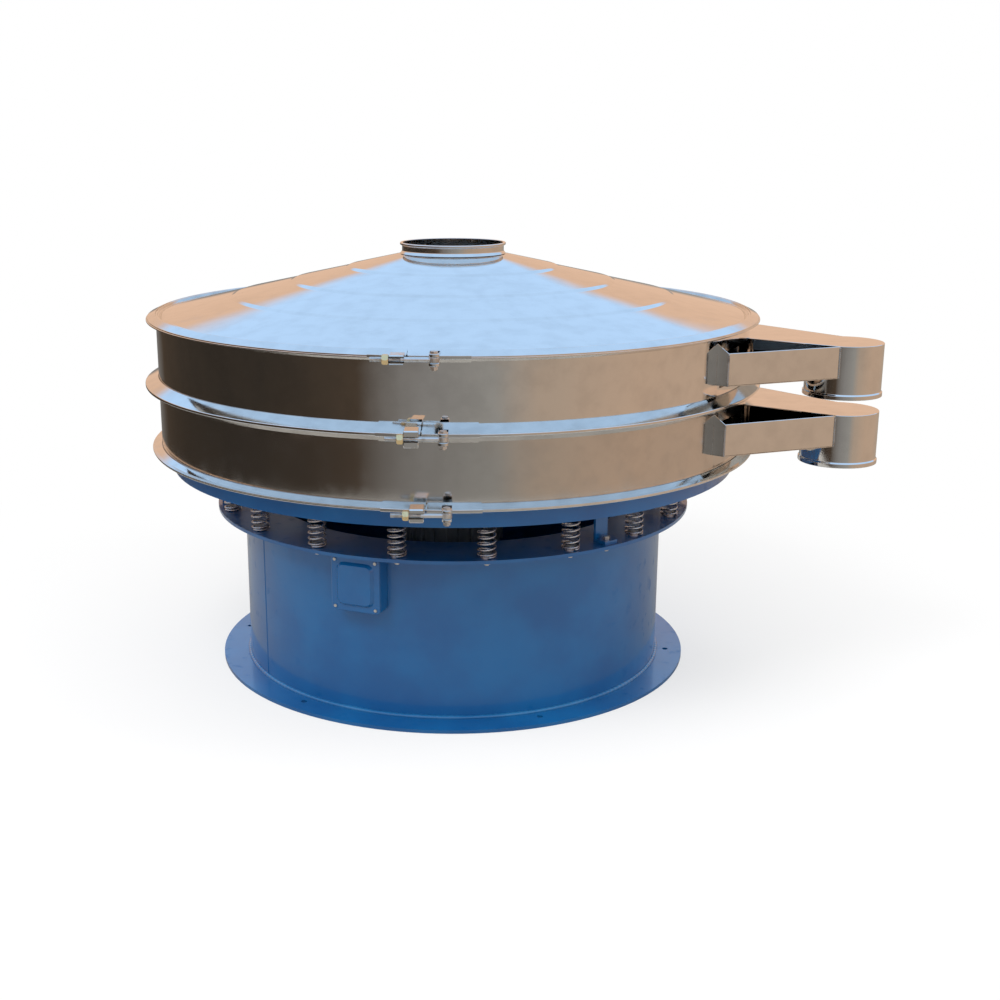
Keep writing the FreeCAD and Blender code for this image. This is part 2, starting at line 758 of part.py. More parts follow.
def make_screen_ring():
    """Screen frame: clamped flange, standing wall and the ledge that the mesh is bonded to."""
    body = new_body("screen_ring")
    inner = f"{SCREEN_R} - screen_ring_wall"
    ledge = f"{inner} - screen_ledge"
    low = f"{MIDDLE_JOINT} - screen_flange / 2"
    high = f"{MIDDLE_JOINT} + screen_flange / 2"
    corners = [
        (inner, low),
        (rim_r("middle"), low),
        (rim_r("middle"), high),
        (SCREEN_R, high),
        (SCREEN_R, MESH_LOW),
        (ledge, MESH_LOW),
        (ledge, f"{MESH_LOW} - screen_ledge_plate"),
        (inner, f"{MESH_LOW} - screen_ledge_plate"),
    ]
    turned(body, corners)


def make_screen_mesh():
    """Woven wire screen, as a thin disc."""
    body = new_body("screen_mesh")
    padded(body, circle(body, "XY_Plane", SCREEN_R, lift=MESH_LOW), "mesh")


def make_discharge_pan():
    """Coned floor of the lower frame that sheds the fines outwards to the lower spout."""
    body = new_body("discharge_pan")
    edge = f"{LOWER_SPOUT_TOP} - spout_height + spout_sheet"
    radius = f"{INNER_R} - seat_fit"
    corners = [
        ("0", f"{edge} + pan_rise"),
        ("0", f"{edge} + pan_rise - pan_plate"),
        (radius, f"{edge} - pan_plate"),
        (radius, edge),
    ]
    turned(body, corners)


# ---------------------------------------------------------------- lid and inlet

def lid_profile():
    """Give the lid's upper line from its edge to the inlet: four cones with a rounded step between."""
    ridge = radius = LID_EDGE_R
    height = f"({TOP_JOINT} + lid_edge_rise)"
    line = [(radius, height)]
    for tier in ("lid_outer_tier", "lid_middle_tier", "lid_inner_tier"):
        ridge = f"({ridge} - {tier})"
        foot = f"({ridge} + lid_ridge_run)"
        height = f"({height} + tan(lid_slope) * ({radius} - {foot}))"
        line.append((foot, height))
        height = f"({height} + lid_ridge_rise)"
        radius = ridge
        line.append((radius, height))
    line.append(("inlet_r", f"({height} + tan(lid_slope) * ({radius} - inlet_r))"))
    return line


INLET_FOOT = lid_profile()[-1][1]


def make_lid():
    """Domed lid: clamped rim, gutter inside it, and the stepped cone up to the inlet."""
    body = new_body("lid")
    line = lid_profile()
    face = f"{TOP_JOINT} + {HALF_STACK['top']}"
    bore = "(inlet_r - inlet_wall)"
    corners = [(LID_GUTTER_R, face)]
    corners += rim("top", INNER_R, 1)
    corners.append((INNER_R, f"{face} + lid_plate"))
    corners.append((LID_GUTTER_R, f"{face} + lid_plate"))
    corners += line
    corners += [(bore, line[-1][1]), (bore, f"{line[-1][1]} - lid_plate")]
    corners += [(radius, f"{height} - lid_plate") for radius, height in reversed(line[:-1])]
    turned(body, corners)


def make_inlet_collar():
    """Feed collar with a bead at its foot and a rolled rim."""
    body = new_body("inlet_collar")
    top = f"{INLET_FOOT} + inlet_height"
    bore = "inlet_r - inlet_wall"
    soft = "inlet_rim / 3"
    corners = [
        (bore, INLET_FOOT),
        ("inlet_r + inlet_bead", INLET_FOOT),
        ("inlet_r", f"{INLET_FOOT} + inlet_bead"),
        ("inlet_r", f"{top} - inlet_rim_height"),
        (f"inlet_r + inlet_rim - {soft}", f"{top} - inlet_rim_height"),
        ("inlet_r + inlet_rim", f"{top} - inlet_rim_height + {soft}"),
        ("inlet_r + inlet_rim", f"{top} - {soft}"),
        (f"inlet_r + inlet_rim - {soft}", top),
        (bore, top),
    ]
    turned(body, corners)


# ---------------------------------------------------------------- spouts

WALL_TAPER = f"atan((spout_root_half - tube_r) / ({MOUTH_X} - {ROOT_X}))"
WALL_SHIFT = f"(spout_sheet / cos({WALL_TAPER}))"
INNER_HALF = f"(spout_root_half * {INNER_X} / {ROOT_X})"


def make_spout(label, top):
    """Spout: a tapering chute from the frame's window to a round outlet, roofed on its far side."""
    body = new_body(label, "spout_turn")
    low = f"({top} - spout_height)"
    lip_low = f"({low} - tube_drop)"
    side = [
        (INNER_X, INNER_HALF),
        (ROOT_X, "spout_root_half"),
        (MOUTH_X, "tube_r"),
    ]
    outside = side + [(x, f"-{y}") for x, y in reversed(side)]
    padded(body, polygon(body, "XY_Plane", outside, low), "spout_height")
    padded(body, circle(body, "XY_Plane", "tube_r", TUBE_X, lift=lip_low), "spout_height + tube_drop")
    padded(body, circle(body, "XY_Plane", "tube_r + tube_lip", TUBE_X, lift=lip_low), "tube_lip_height")
    hollow = [(x, f"({y} - {WALL_SHIFT})") for x, y in side]
    inside = hollow + [(x, f"-{y}") for x, y in reversed(hollow)]
    floor = f"{low} + spout_sheet"
    pocketed(body, polygon(body, "XY_Plane", inside, floor), "spout_height - 2 * spout_sheet")
    bore = circle(body, "XY_Plane", "tube_r - spout_sheet", TUBE_X, lift=lip_low)
    pocketed(body, bore, "spout_height + tube_drop - spout_sheet")
    opening = [(x, f"-{y}") for x, y in reversed(hollow)] + [(INNER_X, "spout_cover_edge")]
    pocketed(body, polygon(body, "XY_Plane", opening, f"{top} - 2 * spout_sheet"), "2 * spout_sheet")
    pocketed(body, circle(body, "XY_Plane", "frame_r", lift=low), "spout_height")


# ---------------------------------------------------------------- clamp bands and closures

def axis_r(joint):
    """Give the radius at which a closure's bolt lies."""
    return f"({band_r(joint)} + closure_stand)"


STACK_HALF = "(eye_half + ear_fit + ear)"
FORK_SLOT_HALF = "(shank_r + fork_slot_fit)"


def vee(joint, grow="0", thick="band_leg"):
    """Give a band's channel section, its outside grown by a doubler's thickness."""
    level = JOINTS[joint]
    outer_r = f"({band_r(joint)} + {grow})"
    inner_r = f"({band_r(joint)} - band_wall)"
    high = f"{joint}_band_height / 2"
    flat = f"{joint}_band_flat / 2"
    inner_flat = leg(joint, inner_r, thick)
    half = [
        (MOUTH_R, f"{leg(joint, MOUTH_R, thick)}"),
        (MOUTH_R, f"({high} + {grow})"),
        (outer_r, f"({flat} + {grow} / 2)"),
    ]
    corners = [(r, f"{level} + {z}") for r, z in half]
    corners += [(r, f"{level} - {z}") for r, z in reversed(half)]
    corners += [(inner_r, f"{level} - {inner_flat}"), (inner_r, f"{level} + {inner_flat}")]
    return corners


def swept_part(body, sketch, angle, backwards):
    """Turn a section part of the way about the axis."""
    feature = body.newObject("PartDesign::Revolution", body.Label + "_arc")
    feature.Profile = sketch
    feature.ReferenceAxis = (sketch, ["V_Axis"])
    feature.Reversed = backwards
    bind(feature, "Angle", angle)
    body.Tip = feature
    return feature


def block(body, x_low, x_high, y_mid, y_half, z_low, height):
    """Raise a block that stands off the band."""
    corners = rectangle(x_low, x_high, f"{y_mid} - {y_half}", f"{y_mid} + {y_half}")
    return padded(body, polygon(body, "XY_Plane", corners, z_low), height)


def make_band(joint):
    """Clamp band with its doublers, pivot ears and fork lug, split beside the fork."""
    body = new_body(f"{joint}_band", f"closure_turn_{joint}")
    level = JOINTS[joint]
    axis = axis_r(joint)
    root = f"{band_r(joint)} - closure_root"
    turned(body, vee(joint))
    swept_part(body, polygon(body, "XZ_Plane", vee(joint, "doubler")), "doubler_right", False)
    swept_part(body, polygon(body, "XZ_Plane", vee(joint, "doubler")), "doubler_left", True)
    back = f"{axis} - {EYE_R} - 2 * ear_fit"
    block(body, root, back, "0", "ear_width / 2", f"{level} - {STACK_HALF}", f"2 * {STACK_HALF}")
    for low in (f"{level} - {STACK_HALF}", f"{level} + eye_half + ear_fit"):
        block(body, root, f"{axis} + ear_width / 2", "0", "ear_width / 2", low, "ear")
    fork_mid = f"(-closure_reach_{joint})"
    fork_half_height = f"(fork_height_{joint} / 2)"
    low = f"{level} - {fork_half_height}"
    block(body, root, f"{axis} + fork_reach", fork_mid, "fork_half", low, f"fork_height_{joint}")
    clear_channel(body, joint)
    slot = rectangle(
        f"{axis} - {FORK_SLOT_HALF}", f"{axis} + 2 * fork_reach", f"{fork_mid} - 2 * fork_half",
        f"{fork_mid} + 2 * fork_half",
    )
    pocketed(body, polygon(body, "XY_Plane", slot, f"{level} - {FORK_SLOT_HALF}"), f"2 * {FORK_SLOT_HALF}")
    pin = circle(body, "XY_Plane", "pivot_r + seat_fit", axis, lift=f"{level} - {STACK_HALF}")
    pocketed(body, pin, f"2 * {STACK_HALF}")
    split_mid = f"({fork_mid} + fork_half + band_split)"
    split = rectangle(
        f"{band_r(joint)} / 2", f"{band_r(joint)} + closure_root", f"{split_mid} - band_split / 2",
        f"{split_mid} + band_split / 2",
    )
    height = f"({joint}_band_height + 4 * doubler)"
    pocketed(body, polygon(body, "XY_Plane", split, f"{level} - {height} / 2"), height)


def clear_channel(body, joint):
    """Keep the inside of a band's channel free of its lugs."""
    level = JOINTS[joint]
    inner_r = f"({band_r(joint)} - band_wall)"
    edge = leg(joint, MOUTH_R, "band_leg")
    flat = leg(joint, inner_r, "band_leg")
    corners = [
        (MOUTH_R, f"{level} - {edge}"),
        (inner_r, f"{level} - {flat}"),
        (inner_r, f"{level} + {flat}"),
        (MOUTH_R, f"{level} + {edge}"),
    ]
    turned(body, corners, cut=True)


def make_pivot_bolt(joint):
    """Upright bolt through the band's ears, head up and nut down."""
    body = new_body(f"{joint}_pivot_bolt", f"closure_turn_{joint}")
    level = JOINTS[joint]
    axis = axis_r(joint)
    low = f"{level} - {STACK_HALF} - pivot_nut - pivot_tip"
    length = f"pivot_tip + pivot_nut + 2 * {STACK_HALF}"
    padded(body, circle(body, "XY_Plane", "pivot_r", axis, lift=low), length)
    head = polygon(body, "XY_Plane", hexagon("pivot_head_r", axis), f"{level} + {STACK_HALF}")
    padded(body, head, "pivot_head")
    nut = polygon(body, "XY_Plane", hexagon("pivot_head_r", axis), f"{level} - {STACK_HALF} - pivot_nut")
    padded(body, nut, "pivot_nut")


def make_eye_bolt(joint):
    """Swing bolt: an eye on the pivot and a long threaded shank through the fork."""
    body = new_body(f"{joint}_eye_bolt", f"closure_turn_{joint}")
    level = JOINTS[joint]
    axis = axis_r(joint)
    low = f"{level} - eye_half"
    padded(body, circle(body, "XY_Plane", EYE_R, axis, lift=low), "2 * eye_half")
    length = f"closure_reach_{joint} + fork_half + closure_nut_gap + closure_nut + closure_tail"
    padded(body, circle(body, "XZ_Plane", "shank_r", axis, level), length)
    pocketed(body, circle(body, "XY_Plane", "pivot_r + pivot_fit", axis, lift=low), "2 * eye_half")


def make_closure_nut(joint):
    """Hexagon nut that draws the fork towards the pivot."""
    body = new_body(f"{joint}_closure_nut", f"closure_turn_{joint}")
    level = JOINTS[joint]
    axis = axis_r(joint)
    start = f"closure_reach_{joint} + fork_half + closure_nut_gap"
    padded(body, polygon(body, "XZ_Plane", hexagon("closure_nut_r", axis, level), start), "closure_nut")
    pocketed(body, circle(body, "XZ_Plane", "shank_r + seat_fit / 2", axis, level, start), "closure_nut")


# ---------------------------------------------------------------- build and write

def build():
    """Make every sub-part."""
    fill_sheet()
    make_base_flange()
    make_base_drum()
    make_spring_flange()
    make_springs()
    make_spring_studs("spring_seats", SPRING_SEAT, True)
    make_transit_brackets()
    make_transit_bolts()
    make_junction_box()
    make_junction_box_cover()
    make_junction_box_screws()
    make_cable_gland()
    make_vibrating_table()
    make_spring_studs("spring_caps", TABLE_UNDERSIDE, False)
    make_motor_housing()
    make_motor_bells()
    make_motor_bolts()
    make_motor_shaft()
    upper_low = f"({BELL_TOP} + weight_gap)"
    make_weight("upper_weight", upper_low, "weight_upper", "weight_r", "shaft_r + seat_fit")
    lower_low = f"({BELL_LOW} - weight_gap - weight_lower)"
    make_weight("lower_weight", lower_low, "weight_lower", "weight_lower_r", "shaft_r + shaft_fit")
    make_frame("lower_frame", "bottom", "middle", LOWER_SPOUT_TOP)
    make_frame("upper_frame", "middle", "top", UPPER_SPOUT_TOP)
    make_spout("lower_spout", LOWER_SPOUT_TOP)
    make_spout("upper_spout", UPPER_SPOUT_TOP)
    make_gaskets()
    make_screen_ring()
    make_screen_mesh()
    make_discharge_pan()
    make_lid()
    make_inlet_collar()
    for joint in JOINTS:
        make_band(joint)
        make_pivot_bolt(joint)
        make_eye_bolt(joint)
        make_closure_nut(joint)
    doc.recompute()


def check():
    """Stop if any object failed or any sub-part's shape is unsound."""
    for item in doc.Objects:
        if "Invalid" in item.State or "Error" in item.State:
            raise RuntimeError(f"{item.Label} failed: {item.State}")
    for part in parts:
        if part.Shape.isNull() or not part.Shape.isValid():
            raise RuntimeError(f"{part.Label} has no sound shape")


def write():
    """Write each sub-part to a file named after it."""
    os.makedirs("parts", exist_ok=True)
    for part in parts:
        part.Shape.exportStep(f"parts/{part.Label}.step")
        print(f"{part.Label}: {len(part.Shape.Solids)} solids, {part.Shape.Volume / 1000:.1f} cm3")


build()
check()
write()
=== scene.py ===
"""Looks of a round vibrating sieve: mirror sheet metal, glossy blue base, coil springs and clamp closures.

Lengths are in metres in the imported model's own frame: +Z up, the machine's axis on Z, the closures
towards -Y. Angles are in radians about +Z from +X.
"""
import json
import logging
import math
from dataclasses import dataclass
from enum import Enum
from functools import lru_cache
from typing import Any, Callable, Sequence

import bmesh
import bpy
import numpy as np
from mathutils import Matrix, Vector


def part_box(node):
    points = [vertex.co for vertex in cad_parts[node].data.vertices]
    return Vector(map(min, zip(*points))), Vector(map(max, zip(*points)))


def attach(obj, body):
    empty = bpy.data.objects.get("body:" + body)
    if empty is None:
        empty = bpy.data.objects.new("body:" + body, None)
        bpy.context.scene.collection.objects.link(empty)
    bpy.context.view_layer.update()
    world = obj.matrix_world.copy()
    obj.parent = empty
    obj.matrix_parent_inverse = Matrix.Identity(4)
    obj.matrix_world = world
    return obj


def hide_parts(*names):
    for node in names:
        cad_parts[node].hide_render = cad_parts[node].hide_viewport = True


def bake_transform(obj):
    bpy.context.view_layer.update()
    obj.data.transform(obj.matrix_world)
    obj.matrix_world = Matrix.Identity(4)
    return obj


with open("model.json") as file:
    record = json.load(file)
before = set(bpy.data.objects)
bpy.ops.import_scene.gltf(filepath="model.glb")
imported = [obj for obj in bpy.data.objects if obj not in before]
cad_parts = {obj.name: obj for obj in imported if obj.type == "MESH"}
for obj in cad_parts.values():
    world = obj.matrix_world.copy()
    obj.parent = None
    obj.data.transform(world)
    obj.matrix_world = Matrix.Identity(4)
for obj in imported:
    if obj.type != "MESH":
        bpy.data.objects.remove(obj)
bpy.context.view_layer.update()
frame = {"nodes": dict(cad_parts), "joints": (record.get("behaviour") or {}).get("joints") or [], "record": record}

Array = np.ndarray
Colour = tuple[float, float, float]
Point = tuple[float, float, float]
TAU = 2 * math.pi
log = logging.getLogger("sieve")


# ---------------------------------------------------------------- shader maths

class Wire:
    """A shader socket that turns Python's operators into Math nodes."""

    def __init__(self, shader: "Shader", socket: Any) -> None:
        """Keep the socket and the shader whose nodes it belongs to."""
        self.shader = shader
        self.socket = socket

    def _maths(self, operation: str, first: Any, second: Any = None) -> "Wire":
        """Add one Math node.

        Args:
            operation: the Math node's operation.
            first: the first value or wire.
            second: the second value or wire, if the operation takes one.

        Returns:
            The node's result.
        """
        values = {0: first} if second is None else {0: first, 1: second}
        return self.shader.node("ShaderNodeMath", {"operation": operation}, values)

    def __add__(self, other: Any) -> "Wire":
        """Add."""
        return self._maths("ADD", self, other)

    __radd__ = __add__

    def __sub__(self, other: Any) -> "Wire":
        """Take away."""
        return self._maths("SUBTRACT", self, other)

    def __rsub__(self, other: Any) -> "Wire":
        """Take this wire away from a value."""
        return self._maths("SUBTRACT", other, self)

    def __mul__(self, other: Any) -> "Wire":
        """Multiply."""
        return self._maths("MULTIPLY", self, other)

    __rmul__ = __mul__

    def sine(self) -> "Wire":
        """Give the sine."""
        return self._maths("SINE", self)

    def between(self, low: float, high: float) -> "Wire":
        """Give 0 below low, 1 above high and a smooth rise between.

        Args:
            low: where the rise starts.
            high: where the rise ends.

        Returns:
            The rise.
        """
        settings = {"interpolation_type": "SMOOTHSTEP"}
        return self.shader.node("ShaderNodeMapRange", settings, {0: self, 1: low, 2: high})


class Shader:
    """A node tree that is filled through one node-making method."""

    def __init__(self, tree: bpy.types.NodeTree) -> None:
        """Empty the tree and keep it."""
        self.tree = tree
        tree.nodes.clear()

    def node(
        self,
        kind: str,
        settings: dict[str, Any] | None = None,
        sockets: dict[str | int, Any] | None = None,
        output: str | int = 0,
    ) -> Wire:
        """Add a node, set it up and link or set its sockets.

        Args:
            kind: the node's type.
            settings: the node's own settings; "stops" holds a colour ramp's places and colours.
            sockets: values or wires by socket name or number.
            output: the output that the caller wants.

        Returns:
            That output as a wire.
        """
        node = self.tree.nodes.new(kind)
        for name, value in (settings or {}).items():
            if name == "stops":
                self._set_stops(node.color_ramp, value)
            else:
                setattr(node, name, value)
        for name, value in (sockets or {}).items():
            if isinstance(value, Wire):
                self.tree.links.new(value.socket, node.inputs[name])
            else:
                node.inputs[name].default_value = value
        return Wire(self, node.outputs[output]) if len(node.outputs) else Wire(self, None)

    @staticmethod
    def _set_stops(ramp: bpy.types.ColorRamp, stops: Sequence[tuple[float, Colour]]) -> None:
        """Give a colour ramp its stops."""
        while len(ramp.elements) < len(stops):
            ramp.elements.new(1.0)
        for element, (place, colour) in zip(ramp.elements, stops):
            element.position = place
            element.color = (*colour, 1.0)

    def place(self) -> Wire:
        """Give the point in the piece's own frame."""
        return self.node("ShaderNodeTexCoord", output="Object")

    def stretched(self, scale: Point) -> Wire:
        """Give the point with each axis scaled."""
        return self.node("ShaderNodeMapping", None, {"Vector": self.place(), "Scale": scale})

    def noise(self, scale: float, detail: float = 2.0, at: Wire | None = None) -> Wire:
        """Give a noise from 0 to 1 about 0.5.

        Args:
            scale: the number of features in a metre.
            detail: the number of finer layers.
            at: the point it is read at, or the piece's own point.

        Returns:
            The noise.
        """
        sockets = {"Vector": at or self.place(), "Scale": scale, "Detail": detail}
        return self.node("ShaderNodeTexNoise", None, sockets)

    def mix(self, share: Wire | float, first: Any, second: Any) -> Wire:
        """Blend two colours, from the first at share 0 to the second at share 1."""
        sockets = {"Factor": share, 6: with_alpha(first), 7: with_alpha(second)}
        return self.node("ShaderNodeMix", {"data_type": "RGBA"}, sockets, output=2)

    def bump(self, height: Wire, depth: float, under: Wire | None = None) -> Wire:
        """Turn a height into a normal.

        Args:
            height: the height, from 0 to 1.
            depth: the depth in metres that 1 stands for.
            under: the normal that it is laid over.

        Returns:
            The normal.
        """
        sockets = {"Height": height, "Distance": depth}
        if under is not None:
            sockets["Normal"] = under
        return self.node("ShaderNodeBump", None, sockets)


def with_alpha(colour: Any) -> Any:
    """Give a plain colour its alpha and leave a wire alone."""
    return colour if isinstance(colour, Wire) else (*colour, 1.0)


# ---------------------------------------------------------------- finishes

@dataclass(frozen=True)
class Finish:
    """A surface finish. Each kind makes its own material once."""

    name: str

    @lru_cache(maxsize=None)
    def material(self) -> bpy.types.Material:
        """Make the material, or give the one made before."""
        made = bpy.data.materials.new(self.name)
        made.use_nodes = True
        shader = Shader(made.node_tree)
        surface = shader.node("ShaderNodeBsdfPrincipled", None, self.sockets(shader))
        shader.node("ShaderNodeOutputMaterial", None, {"Surface": surface})
        return made

    def sockets(self, shader: Shader) -> dict[str, Any]:
        """Give the values and wires of the surface shader's sockets."""
        raise NotImplementedError


@dataclass(frozen=True)
class PolishedSteel(Finish):
    """Stainless sheet buffed to a mirror: faint haze, fine buffing lines and a slow wave in the sheet."""

    colour: Colour = (0.80, 0.785, 0.76)
    roughness: float = 0.045
    haze: float = 0.06
    wave_scale: float = 3.2
    wave: float = 0.0011
    line_scale: float = 900.0
    line: float = 0.000012

    def sockets(self, shader: Shader) -> dict[str, Any]:
        """Give a metal whose haze drifts and whose normal carries the wave and the buffing lines."""
        drift = shader.noise(5.0, 4.0)
        patches = shader.noise(17.0, 5.0)
        darker = tuple(0.9 * part for part in self.colour)
        lines = shader.noise(self.line_scale, 1.0, shader.stretched((0.12, 0.12, 1.0)))
        slow = shader.bump(shader.noise(self.wave_scale, 1.0), self.wave)
        return {
            "Base Color": shader.mix(patches.between(0.35, 0.75), self.colour, darker),
            "Metallic": 1.0,
            "Roughness": self.roughness + self.haze * (drift * patches).between(0.15, 0.5),
            "Normal": shader.bump(lines, self.line, slow),
        }


@dataclass(frozen=True)
class Enamel(Finish):
    """Sprayed gloss enamel: orange peel under a clear gloss, a slow unevenness, and rubbed dull patches."""

    colour: Colour = (0.0, 0.085, 0.27)
    lighter: Colour = (0.0, 0.12, 0.34)
    roughness: float = 0.3
    coat: float = 0.75
    coat_roughness: float = 0.045
    peel_scale: float = 420.0
    peel: float = 0.00006
    sag_scale: float = 6.0
    sag: float = 0.0011

    def sockets(self, shader: Shader) -> dict[str, Any]:
        """Give a coated paint whose tone, gloss and normal drift slowly."""
        drift = shader.noise(4.0, 4.0)
        rubbed = shader.noise(24.0, 6.0).between(0.56, 0.74)
        slow = shader.bump(shader.noise(self.sag_scale, 2.0), self.sag)
        return {
            "Base Color": shader.mix(drift.between(0.35, 0.7), self.colour, self.lighter),
            "Roughness": self.roughness + 0.2 * rubbed,
            "Coat Weight": self.coat - 0.2 * rubbed,
            "Coat Roughness": self.coat_roughness,
            "Normal": shader.bump(shader.noise(self.peel_scale, 1.0), self.peel, slow),
        }


@dataclass(frozen=True)
class PlatedSteel(Finish):
    """Zinc-plated or drawn steel: a soft metal with a mottled haze and fine drawing marks."""

    colour: Colour = (0.66, 0.66, 0.65)
    stain: Colour = (0.42, 0.41, 0.39)
    roughness: float = 0.24
    mottle_scale: float = 160.0
    mark: float = 0.00004

    def sockets(self, shader: Shader) -> dict[str, Any]:
        """Give a metal whose tone and haze follow small blotches."""
        mottle = shader.noise(self.mottle_scale, 4.0)
        grime = shader.noise(38.0, 5.0).between(0.5, 0.72)
        return {
            "Base Color": shader.mix(grime, self.colour, self.stain),
            "Metallic": 1.0,
            "Roughness": self.roughness + 0.22 * mottle,
            "Normal": shader.bump(mottle, self.mark),
        }


@dataclass(frozen=True)
class WovenWire(Finish):
    """Plain-woven wire cloth: two sets of round wires that pass over and under each other."""

    colour: Colour = (0.62, 0.61, 0.59)
    # Painted shade: the near-black colour of the openings between the wires.
    gap: Colour = (0.05, 0.05, 0.05)
    pitch: float = 0.004

    def sockets(self, shader: Shader) -> dict[str, Any]:
        """Give crossed wires as the larger of two raised sines, with painted shade in the gaps between."""
        axes = shader.node("ShaderNodeSeparateXYZ", None, {0: shader.place()}).socket.node
        turns = TAU / self.pitch
        warp = (Wire(shader, axes.outputs[0]) * turns).sine()
        weft = (Wire(shader, axes.outputs[1]) * turns).sine()
        high = shader.node("ShaderNodeMath", {"operation": "MAXIMUM"}, {0: warp, 1: weft})
        wire = high.between(0.1, 0.8)
        return {
            "Base Color": shader.mix(wire, self.gap, self.colour),
            "Metallic": wire,
            "Roughness": 0.5 - 0.2 * wire,
            "Normal": shader.bump(wire, 0.0004),
        }


@dataclass(frozen=True)
class CastIron(Finish):
    """Sand-cast metal, bare or under a thin paint: grainy, pitted and uneven in tone."""

    colour: Colour = (0.16, 0.18, 0.20)
    lighter: Colour = (0.24, 0.26, 0.28)
    metallic: float = 0.0
    roughness: float = 0.5

    def sockets(self, shader: Shader) -> dict[str, Any]:
        """Give a grainy surface with pits."""
        grain = shader.noise(260.0, 4.0)
        tone = shader.noise(14.0, 4.0).between(0.35, 0.7)
        return {
            "Base Color": shader.mix(tone, self.colour, self.lighter),
            "Metallic": self.metallic,
            "Roughness": self.roughness + 0.2 * grain,
            "Normal": shader.bump(grain, 0.0004),
        }


@dataclass(frozen=True)
class Rubber(Finish):
    """Moulded black rubber with a dusty bloom."""

    colour: Colour = (0.022, 0.022, 0.023)
    bloom: Colour = (0.08, 0.078, 0.075)

    def sockets(self, shader: Shader) -> dict[str, Any]:
        """Give a dull black with paler dust in patches."""
        dust = shader.noise(60.0, 5.0)
        return {
            "Base Color": shader.mix(dust.between(0.5, 0.8), self.colour, self.bloom),
            "Roughness": 0.62 + 0.2 * dust,
            "Normal": shader.bump(shader.noise(700.0, 2.0), 0.00008),
        }


MIRROR = PolishedSteel("mirror_sheet")
LID_FINISH = PolishedSteel("lid_sheet", wave=0.0016)
DULL_MIRROR = PolishedSteel("dull_mirror_sheet", (0.66, 0.64, 0.61), roughness=0.1, haze=0.12)
TRIM = PolishedSteel("polished_trim", (0.78, 0.77, 0.75), roughness=0.07, haze=0.1, wave=0.0003)
WELD = PlatedSteel("bare_weld", (0.42, 0.39, 0.35), (0.16, 0.14, 0.12), roughness=0.34)
BLUE = Enamel("blue_enamel")
# Painted sheen: the weld bead's enamel is a lighter blue than the drum's, standing for the light its curve
# catches.
BLUE_WELD_PAINTED_SHEEN = Enamel("painted_weld", (0.004, 0.11, 0.30), (0.02, 0.17, 0.38), sag=0.0)
ZINC = PlatedSteel("zinc_plate")
SPRING_WIRE = PlatedSteel("spring_wire", (0.62, 0.62, 0.63), (0.4, 0.4, 0.4), roughness=0.16)
BRASS = PlatedSteel("turned_brass", (0.83, 0.63, 0.34), (0.55, 0.38, 0.18), roughness=0.2)
SHAFT_STEEL = PlatedSteel("ground_shaft", (0.5, 0.5, 0.5), (0.36, 0.36, 0.36), roughness=0.2)
MOTOR_PAINT = CastIron("motor_paint")
WEIGHT_IRON = CastIron("weight_iron", (0.14, 0.14, 0.145), (0.24, 0.23, 0.22), metallic=0.8)
RUBBER = Rubber("black_rubber")
MESH = WovenWire("woven_wire")


class Slot(Enum):
    """The record's material slots, each with the finish that its plain nodes take."""

    BLUE_PAINT = ("blue_paint", BLUE)
    POLISHED_STEEL = ("polished_steel", MIRROR)
    SPRING_STEEL = ("spring_steel", SPRING_WIRE)
    ZINC_STEEL = ("zinc_steel", ZINC)
    BRASS_METAL = ("brass", BRASS)
    RUBBER_RING = ("rubber", RUBBER)
    WIRE_MESH = ("mesh", MESH)
    MOTOR_SHELL = ("motor_paint", MOTOR_PAINT)
    SHAFT = ("shaft_steel", SHAFT_STEEL)
    IRON = ("weight_iron", WEIGHT_IRON)


# ---------------------------------------------------------------- shapes

SHORTEST = 1e-12
TINY = 1e-9
SLACK = 1e-6
STRAIGHT = 0.999999
SMALL_TURN = 1e-4
ARC_SHARE = 0.48
SHARPEST_CORNER = 0.4
ROUND_STEPS = 288


def unit(vectors: Array) -> Array:
    """Give vectors the length of one."""
    return vectors / np.maximum(np.linalg.norm(vectors, axis=-1, keepdims=True), SHORTEST)


def softened(corners: Array, radius: Array | float, steps: int = 4, closed: bool = True) -> Array:
    """Round an outline's corners with arcs.

    Each arc touches both sides of its corner. With u and v from the arc's centre to its two ends
    and f the angle between them, its points are centre + (sin((1 - s) f) u + sin(s f) v) / sin f.

    Args:
        corners: the outline's corners, one row each.
        radius: one radius for all corners, or one for each.
        steps: the steps in each arc.
        closed: whether the outline returns to its first corner.

    Returns:
        The points of the rounded outline.
    """
    to_last = np.roll(corners, 1, axis=0) - corners
    to_next = np.roll(corners, -1, axis=0) - corners
    shorter = np.minimum(np.linalg.norm(to_last, axis=1), np.linalg.norm(to_next, axis=1))
    a, b = unit(to_last), unit(to_next)
    half = np.arccos(np.clip((a * b).sum(axis=1), -STRAIGHT, STRAIGHT)) / 2
    radius = np.broadcast_to(np.asarray(radius, float), half.shape).copy()
    if not closed:
        radius[[0, -1]] = 0
    reach = np.minimum(radius / np.tan(half), ARC_SHARE * shorter)
    centre = corners + unit(a + b) * (reach / np.cos(half))[:, None]
    u = corners + a * reach[:, None] - centre
    v = corners + b * reach[:, None] - centre
    turn = np.maximum(math.pi - 2 * half, SMALL_TURN)[:, None]
    s = np.linspace(0, 1, steps + 1)[None, :]
    first = np.sin((1 - s) * turn) / np.sin(turn)
    second = np.sin(s * turn) / np.sin(turn)
    arcs = centre[:, None] + first[..., None] * u[:, None] + second[..., None] * v[:, None]
    arcs = np.where((reach < TINY)[:, None, None], corners[:, None], arcs)
    return arcs.reshape(-1, corners.shape[1])


def around(steps: int, start: float = 0.0, sweep: float = TAU) -> Array:
    """Give evenly spaced angles: all the way round without the last, or a part with both ends."""
    if sweep == TAU:
        return start + sweep * np.arange(steps) / steps
    return start + sweep * np.linspace(0, 1, steps + 1)


